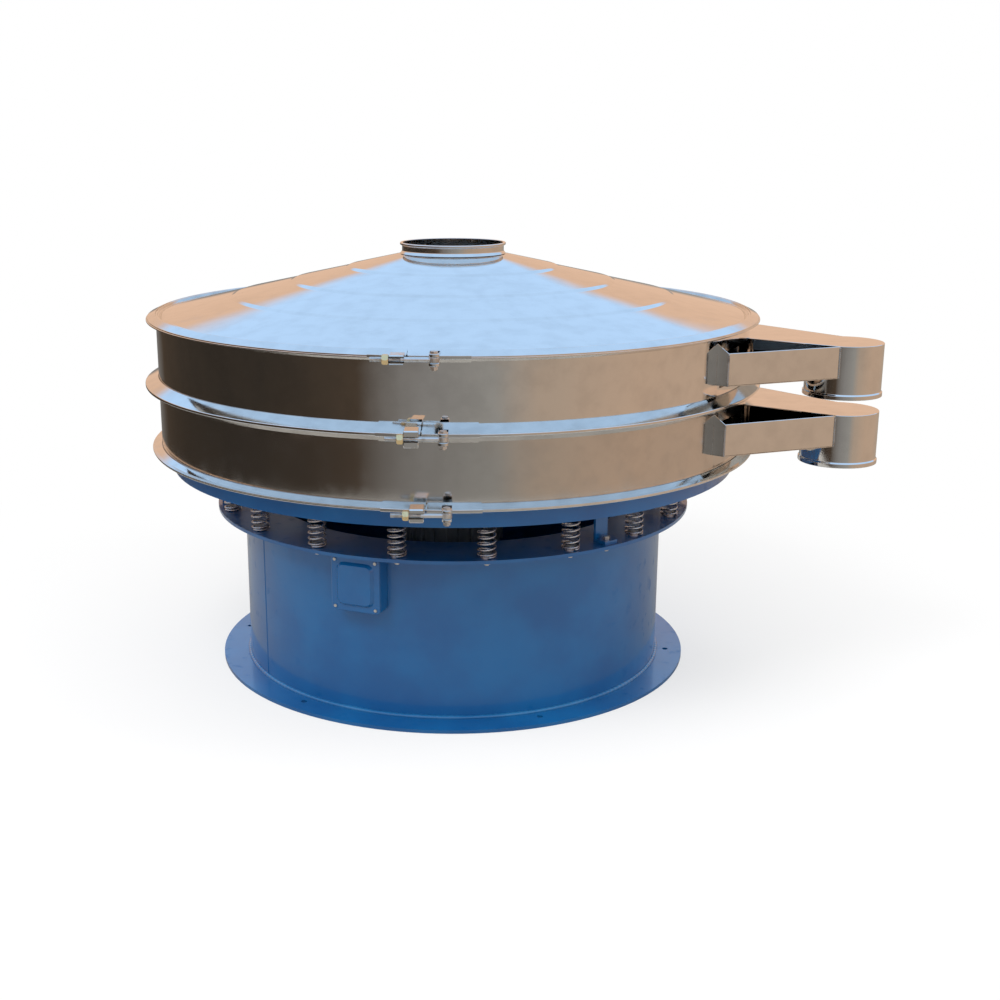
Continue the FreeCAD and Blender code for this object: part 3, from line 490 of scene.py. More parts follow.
def turned(outline: Array, angles: Array) -> Array:
    """Turn an outline of radii and heights about the axis: x = r cos a, y = r sin a, z = height.

    Args:
        outline: radius and height in each row.
        angles: the angles of the columns.

    Returns:
        Points on a grid, outline by angle.
    """
    radius, height = outline[:, 0, None], outline[:, 1, None]
    flat = np.ones_like(angles)[None, :]
    return np.stack([radius * np.cos(angles), radius * np.sin(angles), height * flat], axis=-1)


def tube(path: Array, radius: Array | float, sides: int = 12, up: Array = np.array([0.0, 0, 1])) -> Array:
    """Carry a circle along a path: point = path + r (cos a side + sin a rise).

    The side is square to the path and to the up direction, and the rise is square to both.

    Args:
        path: the points of the path.
        radius: the circle's radius, the same all along or one for each point.
        sides: the points in the circle.
        up: a direction that the path never runs along.

    Returns:
        Points on a grid, path by circle.
    """
    along = unit(np.gradient(path, axis=0))
    side = unit(np.cross(along, up))
    rise = np.cross(side, along)
    angle = around(sides)
    radius = np.broadcast_to(np.asarray(radius, float), (len(path),))
    ring = np.cos(angle)[None, :, None] * side[:, None] + np.sin(angle)[None, :, None] * rise[:, None]
    return path[:, None] + radius[:, None, None] * ring


def spun(points: Array, angle: float) -> Array:
    """Turn points about the machine's axis."""
    c, s = math.cos(angle), math.sin(angle)
    return points @ np.array([[c, s, 0], [-s, c, 0], [0, 0, 1]])


def inset(outline: Array, depth: float) -> Array:
    """Move a counter-clockwise outline's sides inwards by a depth.

    A corner moves by (m + n) depth / (1 + m.n), where m and n are the inward normals of its sides.

    Args:
        outline: the corners.
        depth: how far each side moves.

    Returns:
        The moved corners.
    """
    side = unit(np.roll(outline, -1, axis=0) - outline)
    inward = np.stack([-side[:, 1], side[:, 0]], axis=1)
    before = np.roll(inward, 1, axis=0)
    share = 1 + (inward * before).sum(axis=1, keepdims=True)
    return outline + (inward + before) * depth / np.maximum(share, SHARPEST_CORNER)


class Sheetwork:
    """Gathers grids of points and end caps, and makes them one mesh object."""

    def __init__(self) -> None:
        """Start with nothing."""
        self.points: list[Array] = []
        self.faces: list[Array] = []
        self.count = 0

    def grid(
        self, points: Array, close_rows: bool = False, close_columns: bool = False, keep: Array | None = None
    ) -> "Sheetwork":
        """Add a surface of four-sided faces.

        Args:
            points: the points, rows by columns.
            close_rows: whether the last row joins the first.
            close_columns: whether the last column joins the first.
            keep: which faces are kept, rows by columns, or all of them.

        Returns:
            This sheetwork.
        """
        rows, columns = points.shape[:2]
        index = self.count + np.arange(rows * columns).reshape(rows, columns)
        if close_rows:
            index = np.vstack([index, index[:1]])
        if close_columns:
            index = np.hstack([index, index[:, :1]])
        corners = [index[:-1, :-1], index[1:, :-1], index[1:, 1:], index[:-1, 1:]]
        quads = np.stack(corners, axis=-1)
        self._take(points, quads.reshape(-1, 4) if keep is None else quads[keep])
        return self

    def cap(self, rim: Array) -> "Sheetwork":
        """Close a loop of points with one flat face."""
        self._take(rim, self.count + np.arange(len(rim))[None, :])
        return self

    def solid(self, rows: Array) -> "Sheetwork":
        """Add a closed tube of rows with a cap at each end."""
        return self.grid(rows, close_columns=True).cap(rows[0]).cap(rows[-1])

    def _take(self, points: Array, faces: Array) -> None:
        """Keep points and faces."""
        self.points.append(points.reshape(-1, 3))
        self.faces.append(faces)
        self.count += points.reshape(-1, 3).shape[0]

    def moved(self, change: Callable[[Array], Array]) -> "Sheetwork":
        """Pass every point so far through a function."""
        self.points = [change(points) for points in self.points]
        return self

    def mesh(self, name: str, outwards: bool = True, merge: float = 2e-6) -> bpy.types.Mesh:
        """Make the mesh, merge its doubles and turn its faces outwards.

        Args:
            name: the mesh's name.
            outwards: whether the faces of a closed shape are turned outwards.
            merge: the distance within which points are one.

        Returns:
            The mesh.
        """
        mesh = bpy.data.meshes.new(name)
        points = np.vstack(self.points).astype(np.float32)
        corners = np.concatenate([faces.ravel() for faces in self.faces]).astype(np.int32)
        sizes = np.concatenate([np.full(len(faces), faces.shape[1]) for faces in self.faces])
        starts = np.concatenate([[0], np.cumsum(sizes)[:-1]]).astype(np.int32)
        mesh.vertices.add(len(points))
        mesh.vertices.foreach_set("co", points.ravel())
        mesh.loops.add(len(corners))
        mesh.loops.foreach_set("vertex_index", corners)
        mesh.polygons.add(len(sizes))
        mesh.polygons.foreach_set("loop_start", starts)
        mesh.update(calc_edges=True)
        mesh.validate()
        work = bmesh.new()
        work.from_mesh(mesh)
        bmesh.ops.remove_doubles(work, verts=work.verts, dist=merge)
        bmesh.ops.dissolve_degenerate(work, edges=work.edges, dist=merge / 4)
        if outwards:
            bmesh.ops.recalc_face_normals(work, faces=work.faces)
        work.to_mesh(mesh)
        work.free()
        return mesh


CREASE = math.radians(38)


def dressed(
    work: Sheetwork,
    name: str,
    slot: Slot,
    finish: Finish | None = None,
    stands_for: Sequence[str] = (),
    wall: float = 0.0,
    crease: float = CREASE,
) -> bpy.types.Object:
    """Make an object of a piece's surfaces and give it its finish.

    Args:
        work: the piece's surfaces.
        name: the piece's name.
        slot: the record's material slot.
        finish: the finish, or the slot's own.
        stands_for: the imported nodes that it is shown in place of.
        wall: the thickness that an open sheet gets, behind its faces.
        crease: the angle past which an edge is shaded sharp.

    Returns:
        The object, not yet carried by a body.
    """
    mesh = work.mesh(name, outwards=wall == 0)
    mesh.polygons.foreach_set("use_smooth", np.ones(len(mesh.polygons), bool))
    mesh.set_sharp_from_angle(angle=crease)
    mesh.materials.append((finish or slot.value[1]).material())
    made = bpy.data.objects.new(name, mesh)
    bpy.context.scene.collection.objects.link(made)
    if wall:
        solidify = made.modifiers.new("wall", "SOLIDIFY")
        solidify.thickness = wall
        solidify.offset = -1
    weighted = made.modifiers.new("normals", "WEIGHTED_NORMAL")
    weighted.keep_sharp = True
    if stands_for:
        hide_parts(*stands_for)
    log.info("%s: %d faces", name, len(mesh.polygons))
    return made


def fit_piece(
    work: Sheetwork, name: str, body: str, slot: Slot, *more: Any, **named: Any
) -> bpy.types.Object:
    """Make a piece as dressed() does and let it ride on a body."""
    made = dressed(work, name, slot, *more, **named)
    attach(made, body)
    return made


def slab(outline: Array, low: float, high: float, edge: float) -> Array:
    """Give the rows of a plate with chamfered edges: inset rim, full outline twice, inset rim.

    Args:
        outline: the counter-clockwise outline.
        low: the height of the lower face.
        high: the height of the upper face.
        edge: the chamfer.

    Returns:
        Four rows of points, for Sheetwork.solid.
    """
    small = inset(outline, edge)
    loops = [small, outline, outline, small]
    levels = [low, low + edge, high - edge, high]
    return np.stack([np.column_stack([loop, np.full(len(loop), z)]) for loop, z in zip(loops, levels)])


def upright(points: Array) -> Array:
    """Stand a plate up: its outline's axes become +Y and +Z, and its height becomes +X."""
    return points[..., [2, 0, 1]]


def sideways(points: Array) -> Array:
    """Lay a shape along -Y: its axes become +X and +Z, and its height becomes -Y."""
    return np.stack([points[..., 0], -points[..., 2], points[..., 1]], axis=-1)


def shifted(points: Array, x: float = 0.0, y: float = 0.0, z: float = 0.0) -> Array:
    """Move points."""
    return points + np.array([x, y, z])


def threaded(radius: float, low: float, high: float, pitch: float, depth: float, sides: int = 20) -> Array:
    """Give a screw thread's rows: r = radius - depth (1 - |saw|), where the saw climbs one pitch a turn.

    Args:
        radius: the thread's outer radius.
        low: where it starts.
        high: where it ends.
        pitch: the rise of one turn.
        depth: the depth of the groove.
        sides: the points in each row.

    Returns:
        Rows of points along +Z.
    """
    rows = max(4, int(4 * (high - low) / pitch))
    level = np.linspace(low, high, rows)[:, None]
    angle = around(sides)[None, :]
    saw = 2 * np.mod(level / pitch - angle / TAU, 1.0) - 1
    r = radius - depth * (1 - np.abs(saw))
    r[[0, -1]] = radius - depth
    return np.stack([r * np.cos(angle), r * np.sin(angle), level + 0 * angle], axis=-1)


def box_outline(x_low: float, x_high: float, y_low: float, y_high: float, radius: float = 0.0) -> Array:
    """Give a rectangle's outline, counter-clockwise, with rounded corners."""
    corners = np.array([[x_low, y_low], [x_high, y_low], [x_high, y_high], [x_low, y_high]])
    return softened(corners, radius) if radius else corners


@dataclass(frozen=True)
class Round:
    """A round node's outer radius and heights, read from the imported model."""

    radius: float
    low: float
    high: float

    @classmethod
    def of(cls, node: str) -> "Round":
        """Measure a node."""
        low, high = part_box(node)
        return cls(max(-low.x, high.x, -low.y, high.y), low.z, high.z)


@dataclass(frozen=True)
class Spot:
    """A place on the machine: an angle about its axis, a radius and a height."""

    angle: float
    radius: float
    level: float

    @classmethod
    def of_joint(cls, name: str) -> "Spot":
        """Read a joint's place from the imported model."""
        x, y, z = next(joint["pos_m"] for joint in frame["joints"] if joint["name"] == name)
        return cls(math.atan2(y, x), math.hypot(x, y), z)

    @classmethod
    def of_node(cls, node: str) -> "Spot":
        """Take the middle of a node's box."""
        low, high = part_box(node)
        middle = (low + high) / 2
        return cls(math.atan2(middle.y, middle.x), math.hypot(middle.x, middle.y), middle.z)

    def set_out(self, points: Array) -> Array:
        """Carry points from the place's own frame (x outwards, z from its height) to the machine's."""
        return spun(shifted(points, z=self.level), self.angle)


def closed_ring(work: Sheetwork, section: Array, steps: int = ROUND_STEPS) -> Sheetwork:
    """Turn a closed section all the way round."""
    return work.grid(turned(section, around(steps)), close_rows=True, close_columns=True)


def open_ring(work: Sheetwork, section: Array, angles: Array) -> Sheetwork:
    """Turn a closed section part of the way round and cap its two ends."""
    rows = turned(section, angles)
    return work.grid(rows, close_rows=True).cap(rows[:, 0]).cap(rows[:, -1])


RIPPLES = 230
RIPPLE_DEPTH = 0.10
WANDER_WAVES = ((7, 1), (19, 2), (43, 0))
WANDER_DEPTH = 0.06
RING_BEAD_SIDES = 12
RUN_BEAD_SIDES = 10
SPOT_STEPS = 6
SPOT_DIP = 0.28
BEAD_END = 0.3


def weld_ring(work: Sheetwork, radius: float, height: float, size: float, steps: int = 900) -> Sheetwork:
    """Lay a weld bead round the machine, its section swelling with each ripple and wandering slowly.

    Args:
        work: the sheetwork that takes the bead.
        radius: the radius of the bead's middle.
        height: the height of its middle.
        size: the bead's own radius.
        steps: the points round the ring.

    Returns:
        The sheetwork.
    """
    angle = around(steps)
    wander = sum(np.sin(rate * angle + first) for rate, first in WANDER_WAVES)
    swell = size * (1 + RIPPLE_DEPTH * np.sin(RIPPLES * angle) + WANDER_DEPTH * wander)
    turn = around(RING_BEAD_SIDES)[:, None]
    r = radius + swell * np.cos(turn)
    z = height + swell * np.sin(turn)
    rows = np.stack([r * np.cos(angle), r * np.sin(angle), z], axis=-1)
    return work.grid(rows, close_rows=True, close_columns=True)


def weld_run(work: Sheetwork, start: Array, end: Array, size: float, spots: int) -> Sheetwork:
    """Lay an upright bead of overlapping spots: r = size (1 - dip + dip |sin|), drawn in at its ends.

    Args:
        work: the sheetwork that takes the bead.
        start: the bead's foot.
        end: its top.
        size: the bead's own radius.
        spots: the number of spots.

    Returns:
        The sheetwork.
    """
    share = np.linspace(0, 1, SPOT_STEPS * spots + 1)
    path = start + share[:, None] * (end - start)
    radius = size * (1 - SPOT_DIP + SPOT_DIP * np.abs(np.sin(share * spots * math.pi)))
    radius[[0, -1]] = BEAD_END * size
    return work.solid(tube(path, radius, RUN_BEAD_SIDES, np.array([1.0, 0, 0])))


NUT_EDGE = 0.16
NUT_FACE = 0.96


def nut(bore: float, corner: float, low: float, high: float, sides: int = 36) -> Array:
    """Give the rows of a hexagon nut with a bore and turned ends.

    A hexagon's radius at an angle is its half width / cos(angle to the middle of the nearest side).

    Args:
        bore: the bore's radius.
        corner: the radius at its corners.
        low: where it starts.
        high: where it ends.
        sides: the points in each row.

    Returns:
        Rows of points along +Z that close on themselves.
    """
    angle = around(sides)
    flat = corner * math.cos(TAU / 12)
    hexagonal = flat / np.cos(np.mod(angle, TAU / 6) - TAU / 12)
    edge = NUT_EDGE * (corner - bore)
    loops = [
        (np.full(sides, bore + edge / 2), low),
        (np.full(sides, NUT_FACE * flat), low),
        (hexagonal, low + 2 * edge),
        (hexagonal, high - 2 * edge),
        (np.full(sides, NUT_FACE * flat), high),
        (np.full(sides, bore + edge / 2), high),
        (np.full(sides, bore), high - edge / 2),
        (np.full(sides, bore), low + edge / 2),
    ]
    rows = [np.stack([r * np.cos(angle), r * np.sin(angle), 0 * r + z], axis=-1) for r, z in loops]
    return np.stack(rows)


def strip(path: Array, depth: Array, low: float, high: float, edge: float) -> Array:
    """Give the rows of a standing sheet that follows a path in plan.

    Args:
        path: the sheet's outer face in plan.
        depth: the step from each path point to the inner face.
        low: the sheet's foot.
        high: its top.
        edge: the share of the thickness that its edges are rounded by.

    Returns:
        Rows of points along the path, each an eight-sided section.
    """
    rise = edge * np.linalg.norm(depth[0])
    section = [
        (edge, low), (1 - edge, low), (1, low + rise), (1, high - rise),
        (1 - edge, high), (edge, high), (0, high - rise), (0, low + rise),
    ]
    lines = [np.column_stack([path + share * depth, z + np.zeros(len(path))]) for share, z in section]
    return np.stack(lines, axis=1)


# ---------------------------------------------------------------- sub-assemblies

BASE = "base"
TABLE = "table"


class SubAssembly:
    """A part of the machine that makes its own pieces."""

    def build(self) -> None:
        """Make the pieces."""
        raise NotImplementedError


@dataclass
class Drum(SubAssembly):
    """Rolled base drum with its butt seam, and the weld beads that join it to its two flanges."""

    wall: float = 0.006
    seam_angle: float = math.radians(211)
    seam_half: float = 0.0045
    seam_depth: float = 0.0028
    seam_margin: float = 1.4
    bead: float = 0.0065
    upper_bead: float = 0.7
    bead_offset: float = 0.3

    def build(self) -> None:
        """Make the drum and its beads."""
        size = Round.of("base_drum")
        across = np.linspace(-self.seam_margin, self.seam_margin, 15)
        fine = self.seam_angle + across * self.seam_half / size.radius
        angles = np.union1d(around(ROUND_STEPS), fine)
        inner = size.radius - self.wall
        section = box_outline(inner, size.radius, size.low, size.high)
        rows = turned(section, angles)
        aside = np.abs(angles - self.seam_angle) * size.radius / self.seam_half
        depth = self.seam_depth * np.clip(1 - aside, 0, 1) ** 0.5
        rows[1:3, :, :2] *= (1 - depth / size.radius)[None, :, None]
        work = Sheetwork().grid(rows, close_rows=True, close_columns=True)
        fit_piece(work, "drum_shell", BASE, Slot.BLUE_PAINT, stands_for=["base_drum"])
        offset = self.bead_offset * self.bead
        beads = weld_ring(Sheetwork(), size.radius + offset, size.low + offset, self.bead)
        weld_ring(beads, size.radius + offset, size.high - offset, self.upper_bead * self.bead)
        # The drum's weld beads take the lighter blue of the painted sheen.
        fit_piece(beads, "drum_welds", BASE, Slot.BLUE_PAINT, BLUE_WELD_PAINTED_SHEEN, crease=TAU)


@dataclass
class Springs(SubAssembly):
    """Coil springs under the table, with a closed turn at each end."""

    wire: float = 0.00325
    coil: float = 0.02325
    turns: float = 9.4
    dead_turns: float = 1.1
    dead_pitch: float = 2.05
    end_taper: float = 0.55
    steps_per_turn: int = 30

    def build(self) -> None:
        """Make a spring in the place of each packed one."""
        springs = sorted(node for node in frame["nodes"] if node.startswith("spring_") and node[-1].isdigit())
        for node in springs:
            self._spring(node)

    def _spring(self, node: str) -> None:
        """Wind one spring: x = R cos a, y = R sin a, with the height following the wound turns."""
        spot = Spot.of_node(node)
        low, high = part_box(node)
        foot, top = low.z + self.wire, high.z - self.wire
        turn = np.linspace(0, self.turns, int(self.turns * self.steps_per_turn))
        dead = self.dead_turns
        closed = self.dead_pitch * self.wire * dead
        bends = [0, dead, self.turns - dead, self.turns]
        height = np.interp(turn, bends, [foot, foot + closed, top - closed, top])
        angle = TAU * turn + spot.angle
        centre = spot.radius * np.array([math.cos(spot.angle), math.sin(spot.angle)])
        plan = centre + self.coil * np.stack([np.cos(angle), np.sin(angle)], axis=1)
        path = np.column_stack([plan, height])
        radius = np.full(len(path), self.wire)
        radius[[0, -1]] *= self.end_taper
        rows = tube(path, radius)
        made = dressed(Sheetwork().solid(rows), node + "_wire", Slot.SPRING_STEEL, stands_for=[node])
        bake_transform(made)


@dataclass
class JunctionBox(SubAssembly):
    """Electrical box on the drum: a folded housing, its cover and the cover's raised panel."""

    half_width: float = 0.074
    half_height: float = 0.080
    corner: float = 0.010
    cover: float = 0.005
    panel: float = 0.009
    panel_inset: float = 0.017
    panel_corner: float = 0.022
    panel_slope: float = 0.0075
    edge: float = 0.0012
    sink: float = 0.004

    def build(self) -> None:
        """Make the housing and the cover."""
        spot = Spot.of_node("junction_box")
        back = Round.of("base_drum").radius
        face = self._face("junction_box")
        wide, tall = self.half_width, self.half_height
        outline = box_outline(-wide, wide, -tall, tall, self.corner)
        housing = Sheetwork().solid(slab(outline, back - self.sink, face, self.edge))
        self._place(housing, spot, "box_housing", "junction_box")
        cover = Sheetwork().solid(slab(outline, face, face + self.cover, self.edge))
        wide, tall = wide - self.panel_inset, tall - self.panel_inset
        inner = box_outline(-wide, wide, -tall, tall, self.panel_corner)
        front = face + self.cover
        levels = [(0.0, front - self.edge), (0.0, front), (self.panel_slope, front + self.panel)]
        loops = [np.column_stack([inset(inner, depth), np.full(len(inner), z)]) for depth, z in levels]
        cover.solid(np.stack(loops))
        self._place(cover, spot, "box_cover", "junction_box_cover")

    @staticmethod
    def _face(node: str) -> float:
        """Give how far out along its own angle a node reaches."""
        spot = Spot.of_node(node)
        mesh = frame["nodes"][node].data
        points = np.empty(3 * len(mesh.vertices), np.float32)
        mesh.vertices.foreach_get("co", points)
        return float((points.reshape(-1, 3)[:, :2] @ [math.cos(spot.angle), math.sin(spot.angle)]).max())

    @staticmethod
    def _place(work: Sheetwork, spot: Spot, name: str, node: str) -> None:
        """Stand a plate's stack on the drum."""
        work.moved(lambda points: spot.set_out(upright(points)))
        fit_piece(work, name, BASE, Slot.BLUE_PAINT, stands_for=[node])


def crossing(start: Array, way: Array, a: Array, b: Array) -> Array:
    """Give how far along each direction a ray from a point meets the line through a and b, if ahead.

    The distance is (a - start) x (b - a) / (way x (b - a)), with x the plane's cross product.

    Args:
        start: the rays' common start.
        way: their unit directions.
        a: a point on the line.
        b: another.

    Returns:
        The distances, infinite where the line lies behind.
    """
    along, to = b - a, a - start
    share = way[:, 0] * along[1] - way[:, 1] * along[0]
    reach = (to[0] * along[1] - to[1] * along[0]) / np.where(np.abs(share) < TINY, TINY, share)
    return np.where(reach > 0, reach, np.inf)


def ring_crossing(start: Array, way: Array, radius: float) -> Array:
    """Give how far along each direction a ray from outside first meets the circle about the origin."""
    ahead = way @ start
    under = ahead**2 - (start @ start - radius**2)
    reach = -ahead - np.sqrt(np.maximum(under, 0))
    return np.where((under > 0) & (reach > 0), reach, np.inf)


@dataclass
class Spout(SubAssembly):
    """Discharge spout: a tapering chute with a half roof that ends in a round tube.

    In its own frame +X points away from the machine and the near wall has the negative Y.
    """

    node: str
    angle: float = math.radians(-16.4)
    height: float = 0.091
    sheet: float = 0.003
    frame_r: float = 0.9003
    root: tuple[float, float] = (0.879, 0.327)
    inner: tuple[float, float] = (0.826, 0.3066)
    mouth: tuple[float, float] = (1.167, 0.109)
    roof_edge: tuple[float, float] = (0.826, 0.019)
    tube_x: float = 1.178
    tube_r: float = 0.109
    lip: float = 0.0035
    lip_height: float = 0.012
    bead: float = 0.0034
    weld_spots: int = 16
    weld_short: float = 0.004
    roof_gap: float = 0.001
    lip_round: float = 0.0016
    least_floor: float = 1e-4
    outlet_steps: int = 144
    root_rise: float = 0.026
    edge_share: float = 0.33

    def __post_init__(self) -> None:
        """Read the spout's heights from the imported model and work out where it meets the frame."""
        low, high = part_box(self.node)
        self.foot, self.top = low.z, high.z
        self.floor = self.top - self.height
        self.centre = np.array([self.tube_x, 0.0])
        inner, root = np.array(self.inner), np.array(self.root)
        way = unit(inner - root)
        self.start = root + way * ring_crossing(root, way[None, :], self.frame_r)[0]

    def build(self) -> None:
        """Make the chute, the tube and the welds."""
        chute = Sheetwork()
        for side in (-1, 1):
            chute.solid(self._wall(side))
        self._floor(chute)
        self._roof(chute)
        self._fit(chute, "chute", stands_for=[self.node])
        self._fit(self._tube(), "tube")
        self._fit(self._welds(), "welds", finish=WELD, crease=TAU)

    def _fit(self, work: Sheetwork, what: str, **named: Any) -> None:
        """Turn a piece to the spout's angle and fit it."""
        work.moved(lambda points: spun(points, self.angle))
        fit_piece(work, f"{self.node}_{what}", TABLE, Slot.POLISHED_STEEL, **named)

    def _wall(self, side: int) -> Array:
        """Give one side wall's rows, from the frame past the root corner to the tube."""
        path = np.array([self.start, self.root, self.mouth]) * [1, side]
        run = np.subtract(self.mouth, self.root)
        shift = self.sheet * np.linalg.norm(run) / run[0]
        top = self.top + np.array([self.root_rise, 0, 0])
        return strip(path, np.tile([0, -side * shift], (3, 1)), self.floor, top, self.edge_share)

    def _reach(self, angles: Array, roofed: bool) -> Array:
        """Give how far the chute's outline is from the tube's middle at each angle."""
        way = np.stack([np.cos(angles), np.sin(angles)], axis=1)
        inner, root, mouth = np.array(self.inner), np.array(self.root), np.array(self.mouth)
        reach = ring_crossing(self.centre, way, self.frame_r)
        for side in ([1, 1], [1, -1]):
            reach = np.minimum(reach, crossing(self.centre, way, root * side, mouth * side))
            reach = np.minimum(reach, crossing(self.centre, way, inner * side, root * side))
        if roofed:
            near_mouth = mouth * [1, -1] + [0, self.sheet]
            reach = np.minimum(reach, crossing(self.centre, way, np.array(self.roof_edge), near_mouth))
        in_tube = np.abs(np.mod(angles + math.pi, TAU) - math.pi) < self._mouth_angle() + SLACK
        return np.where(in_tube, self.tube_r, reach)

    def _mouth_angle(self) -> float:
        """Give the angle about the tube at which the far wall meets it."""
        return math.atan2(self.mouth[1], self.mouth[0] - self.tube_x)

    def _angles(self) -> Array:
        """Give even angles about the tube with the outline's corners among them."""
        corners = np.array([self.start, self.root, self.mouth]) - self.centre
        exact = np.arctan2(corners[:, 1], corners[:, 0])
        return np.union1d(np.union1d(around(self.outlet_steps), exact), TAU - exact)

    def _rays(self, angles: Array, reach: Array, level: float) -> Array:
        """Give a point at each angle and distance from the tube's middle."""
        x = self.tube_x + reach * np.cos(angles)
        return np.column_stack([x, reach * np.sin(angles), np.full(len(angles), level)])

    def _floor(self, work: Sheetwork) -> None:
        """Lay the floor from the walls and the frame to the tube."""
        angles = self._angles()
        mouth = self._mouth_angle()
        angles = angles[(angles > mouth - SLACK) & (angles < TAU - mouth + SLACK)]
        out = self._reach(angles, roofed=False)
        hole = np.full(len(angles), self.tube_r - self.sheet / 2)
        out = np.maximum(out, hole + self.least_floor)
        top = self.floor + self.sheet
        loops = ((hole, self.floor), (out, self.floor), (out, top), (hole, top))
        rows = np.stack([self._rays(angles, r, z) for r, z in loops])
        work.grid(rows, close_rows=True).cap(rows[:, 0]).cap(rows[:, -1])

    def _roof(self, work: Sheetwork) -> None:
        """Lay the roof over the tube and the far half of the chute."""
        angles = self._angles()
        out = self._reach(angles, roofed=True)
        low = self.top - self.sheet
        soft = self.sheet * self.edge_share
        middle = 0 * out
        edge = [(out, low), (out, self.top - soft), (out - soft, self.top)]
        loops = [(middle, low), *edge, (middle, self.top)]
        work.grid(np.stack([self._rays(angles, r, z) for r, z in loops]), close_columns=True)

    def _tube(self) -> Sheetwork:
        """Make the outlet tube with its rolled lip, and the half of it that closes the chute's end."""
        bore, out, lip = self.tube_r - self.sheet, self.tube_r, self.tube_r + self.lip
        knee = self.foot + self.lip_height
        corners = [(bore, self.foot), (lip, self.foot), (lip, knee), (out, knee + self.lip)]
        corners += [(out, self.floor + self.sheet), (bore, self.floor + self.sheet)]
        section = softened(np.array(corners), self.lip_round)
        work = closed_ring(Sheetwork(), section, self.outlet_steps)
        mouth = self._mouth_angle()
        upper = box_outline(bore, out, self.floor, self.top - self.roof_gap)
        open_ring(work, upper, np.linspace(-mouth, mouth, self.outlet_steps // 2 + 1))
        return work.moved(lambda points: shifted(points, x=self.tube_x))

    def _welds(self) -> Sheetwork:
        """Lay beads up the wall's corners and where the walls meet the tube and the frame."""
        work = Sheetwork()
        for side in (-1, 1):
            for x, y in (self.start, self.root, self.mouth):
                foot = np.array([x, side * y, self.floor])
                top = foot + [0, 0, self.height - self.weld_short]
                weld_run(work, foot, top, self.bead, self.weld_spots)
        return work


@dataclass
class SieveFrame(SubAssembly):
    """One rolled frame: a mirror-polished shell with a clamped rim at each end and the spout's window."""

    node: str
    spout: Spout
    finish: Finish
    radius: float = 0.900
    wall: float = 0.003
    rim_depth: float = 0.0065
    rim_flat: float = 0.5
    rim_knee: float = 1.6
    rim_round: float = 0.0008
    window_half: float = 0.300

    def build(self) -> None:
        """Make the frame's shell and rims."""
        low, high = (corner.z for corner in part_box(self.node))
        foot, top = self.spout.floor + self.spout.sheet, self.spout.top - self.spout.sheet
        half = math.asin(self.window_half / self.radius)
        sides = np.mod([self.spout.angle - half, self.spout.angle + half], TAU)
        angles = np.union1d(around(ROUND_STEPS), sides)
        middle = angles + np.diff(np.append(angles, angles[0] + TAU)) / 2
        outside = np.abs(np.mod(middle - self.spout.angle + math.pi, TAU) - math.pi) > half
        keep = np.ones((3, len(angles)), bool)
        keep[1] = outside
        levels = np.array([low + self.rim_depth, foot, top, high - self.rim_depth])
        outline = np.column_stack([np.full(4, self.radius), levels])
        work = Sheetwork().grid(turned(outline, angles), close_columns=True, keep=keep)
        fit_piece(work, f"{self.node}_shell", TABLE, Slot.POLISHED_STEEL, self.finish, [self.node], self.wall)
        rims = Sheetwork()
        tip = Round.of(self.node).radius
        root = self.radius - self.wall
        for face, way in ((low, 1), (high, -1)):
            outer = face + way * self.rim_flat * self.rim_depth
            knee = face + way * self.rim_knee * self.rim_depth
            corners = np.array([(root, face), (tip, face), (tip, outer), (root, knee)])
            closed_ring(rims, softened(corners, self.rim_round, 2))
        fit_piece(rims, f"{self.node}_rims", TABLE, Slot.POLISHED_STEEL, TRIM)


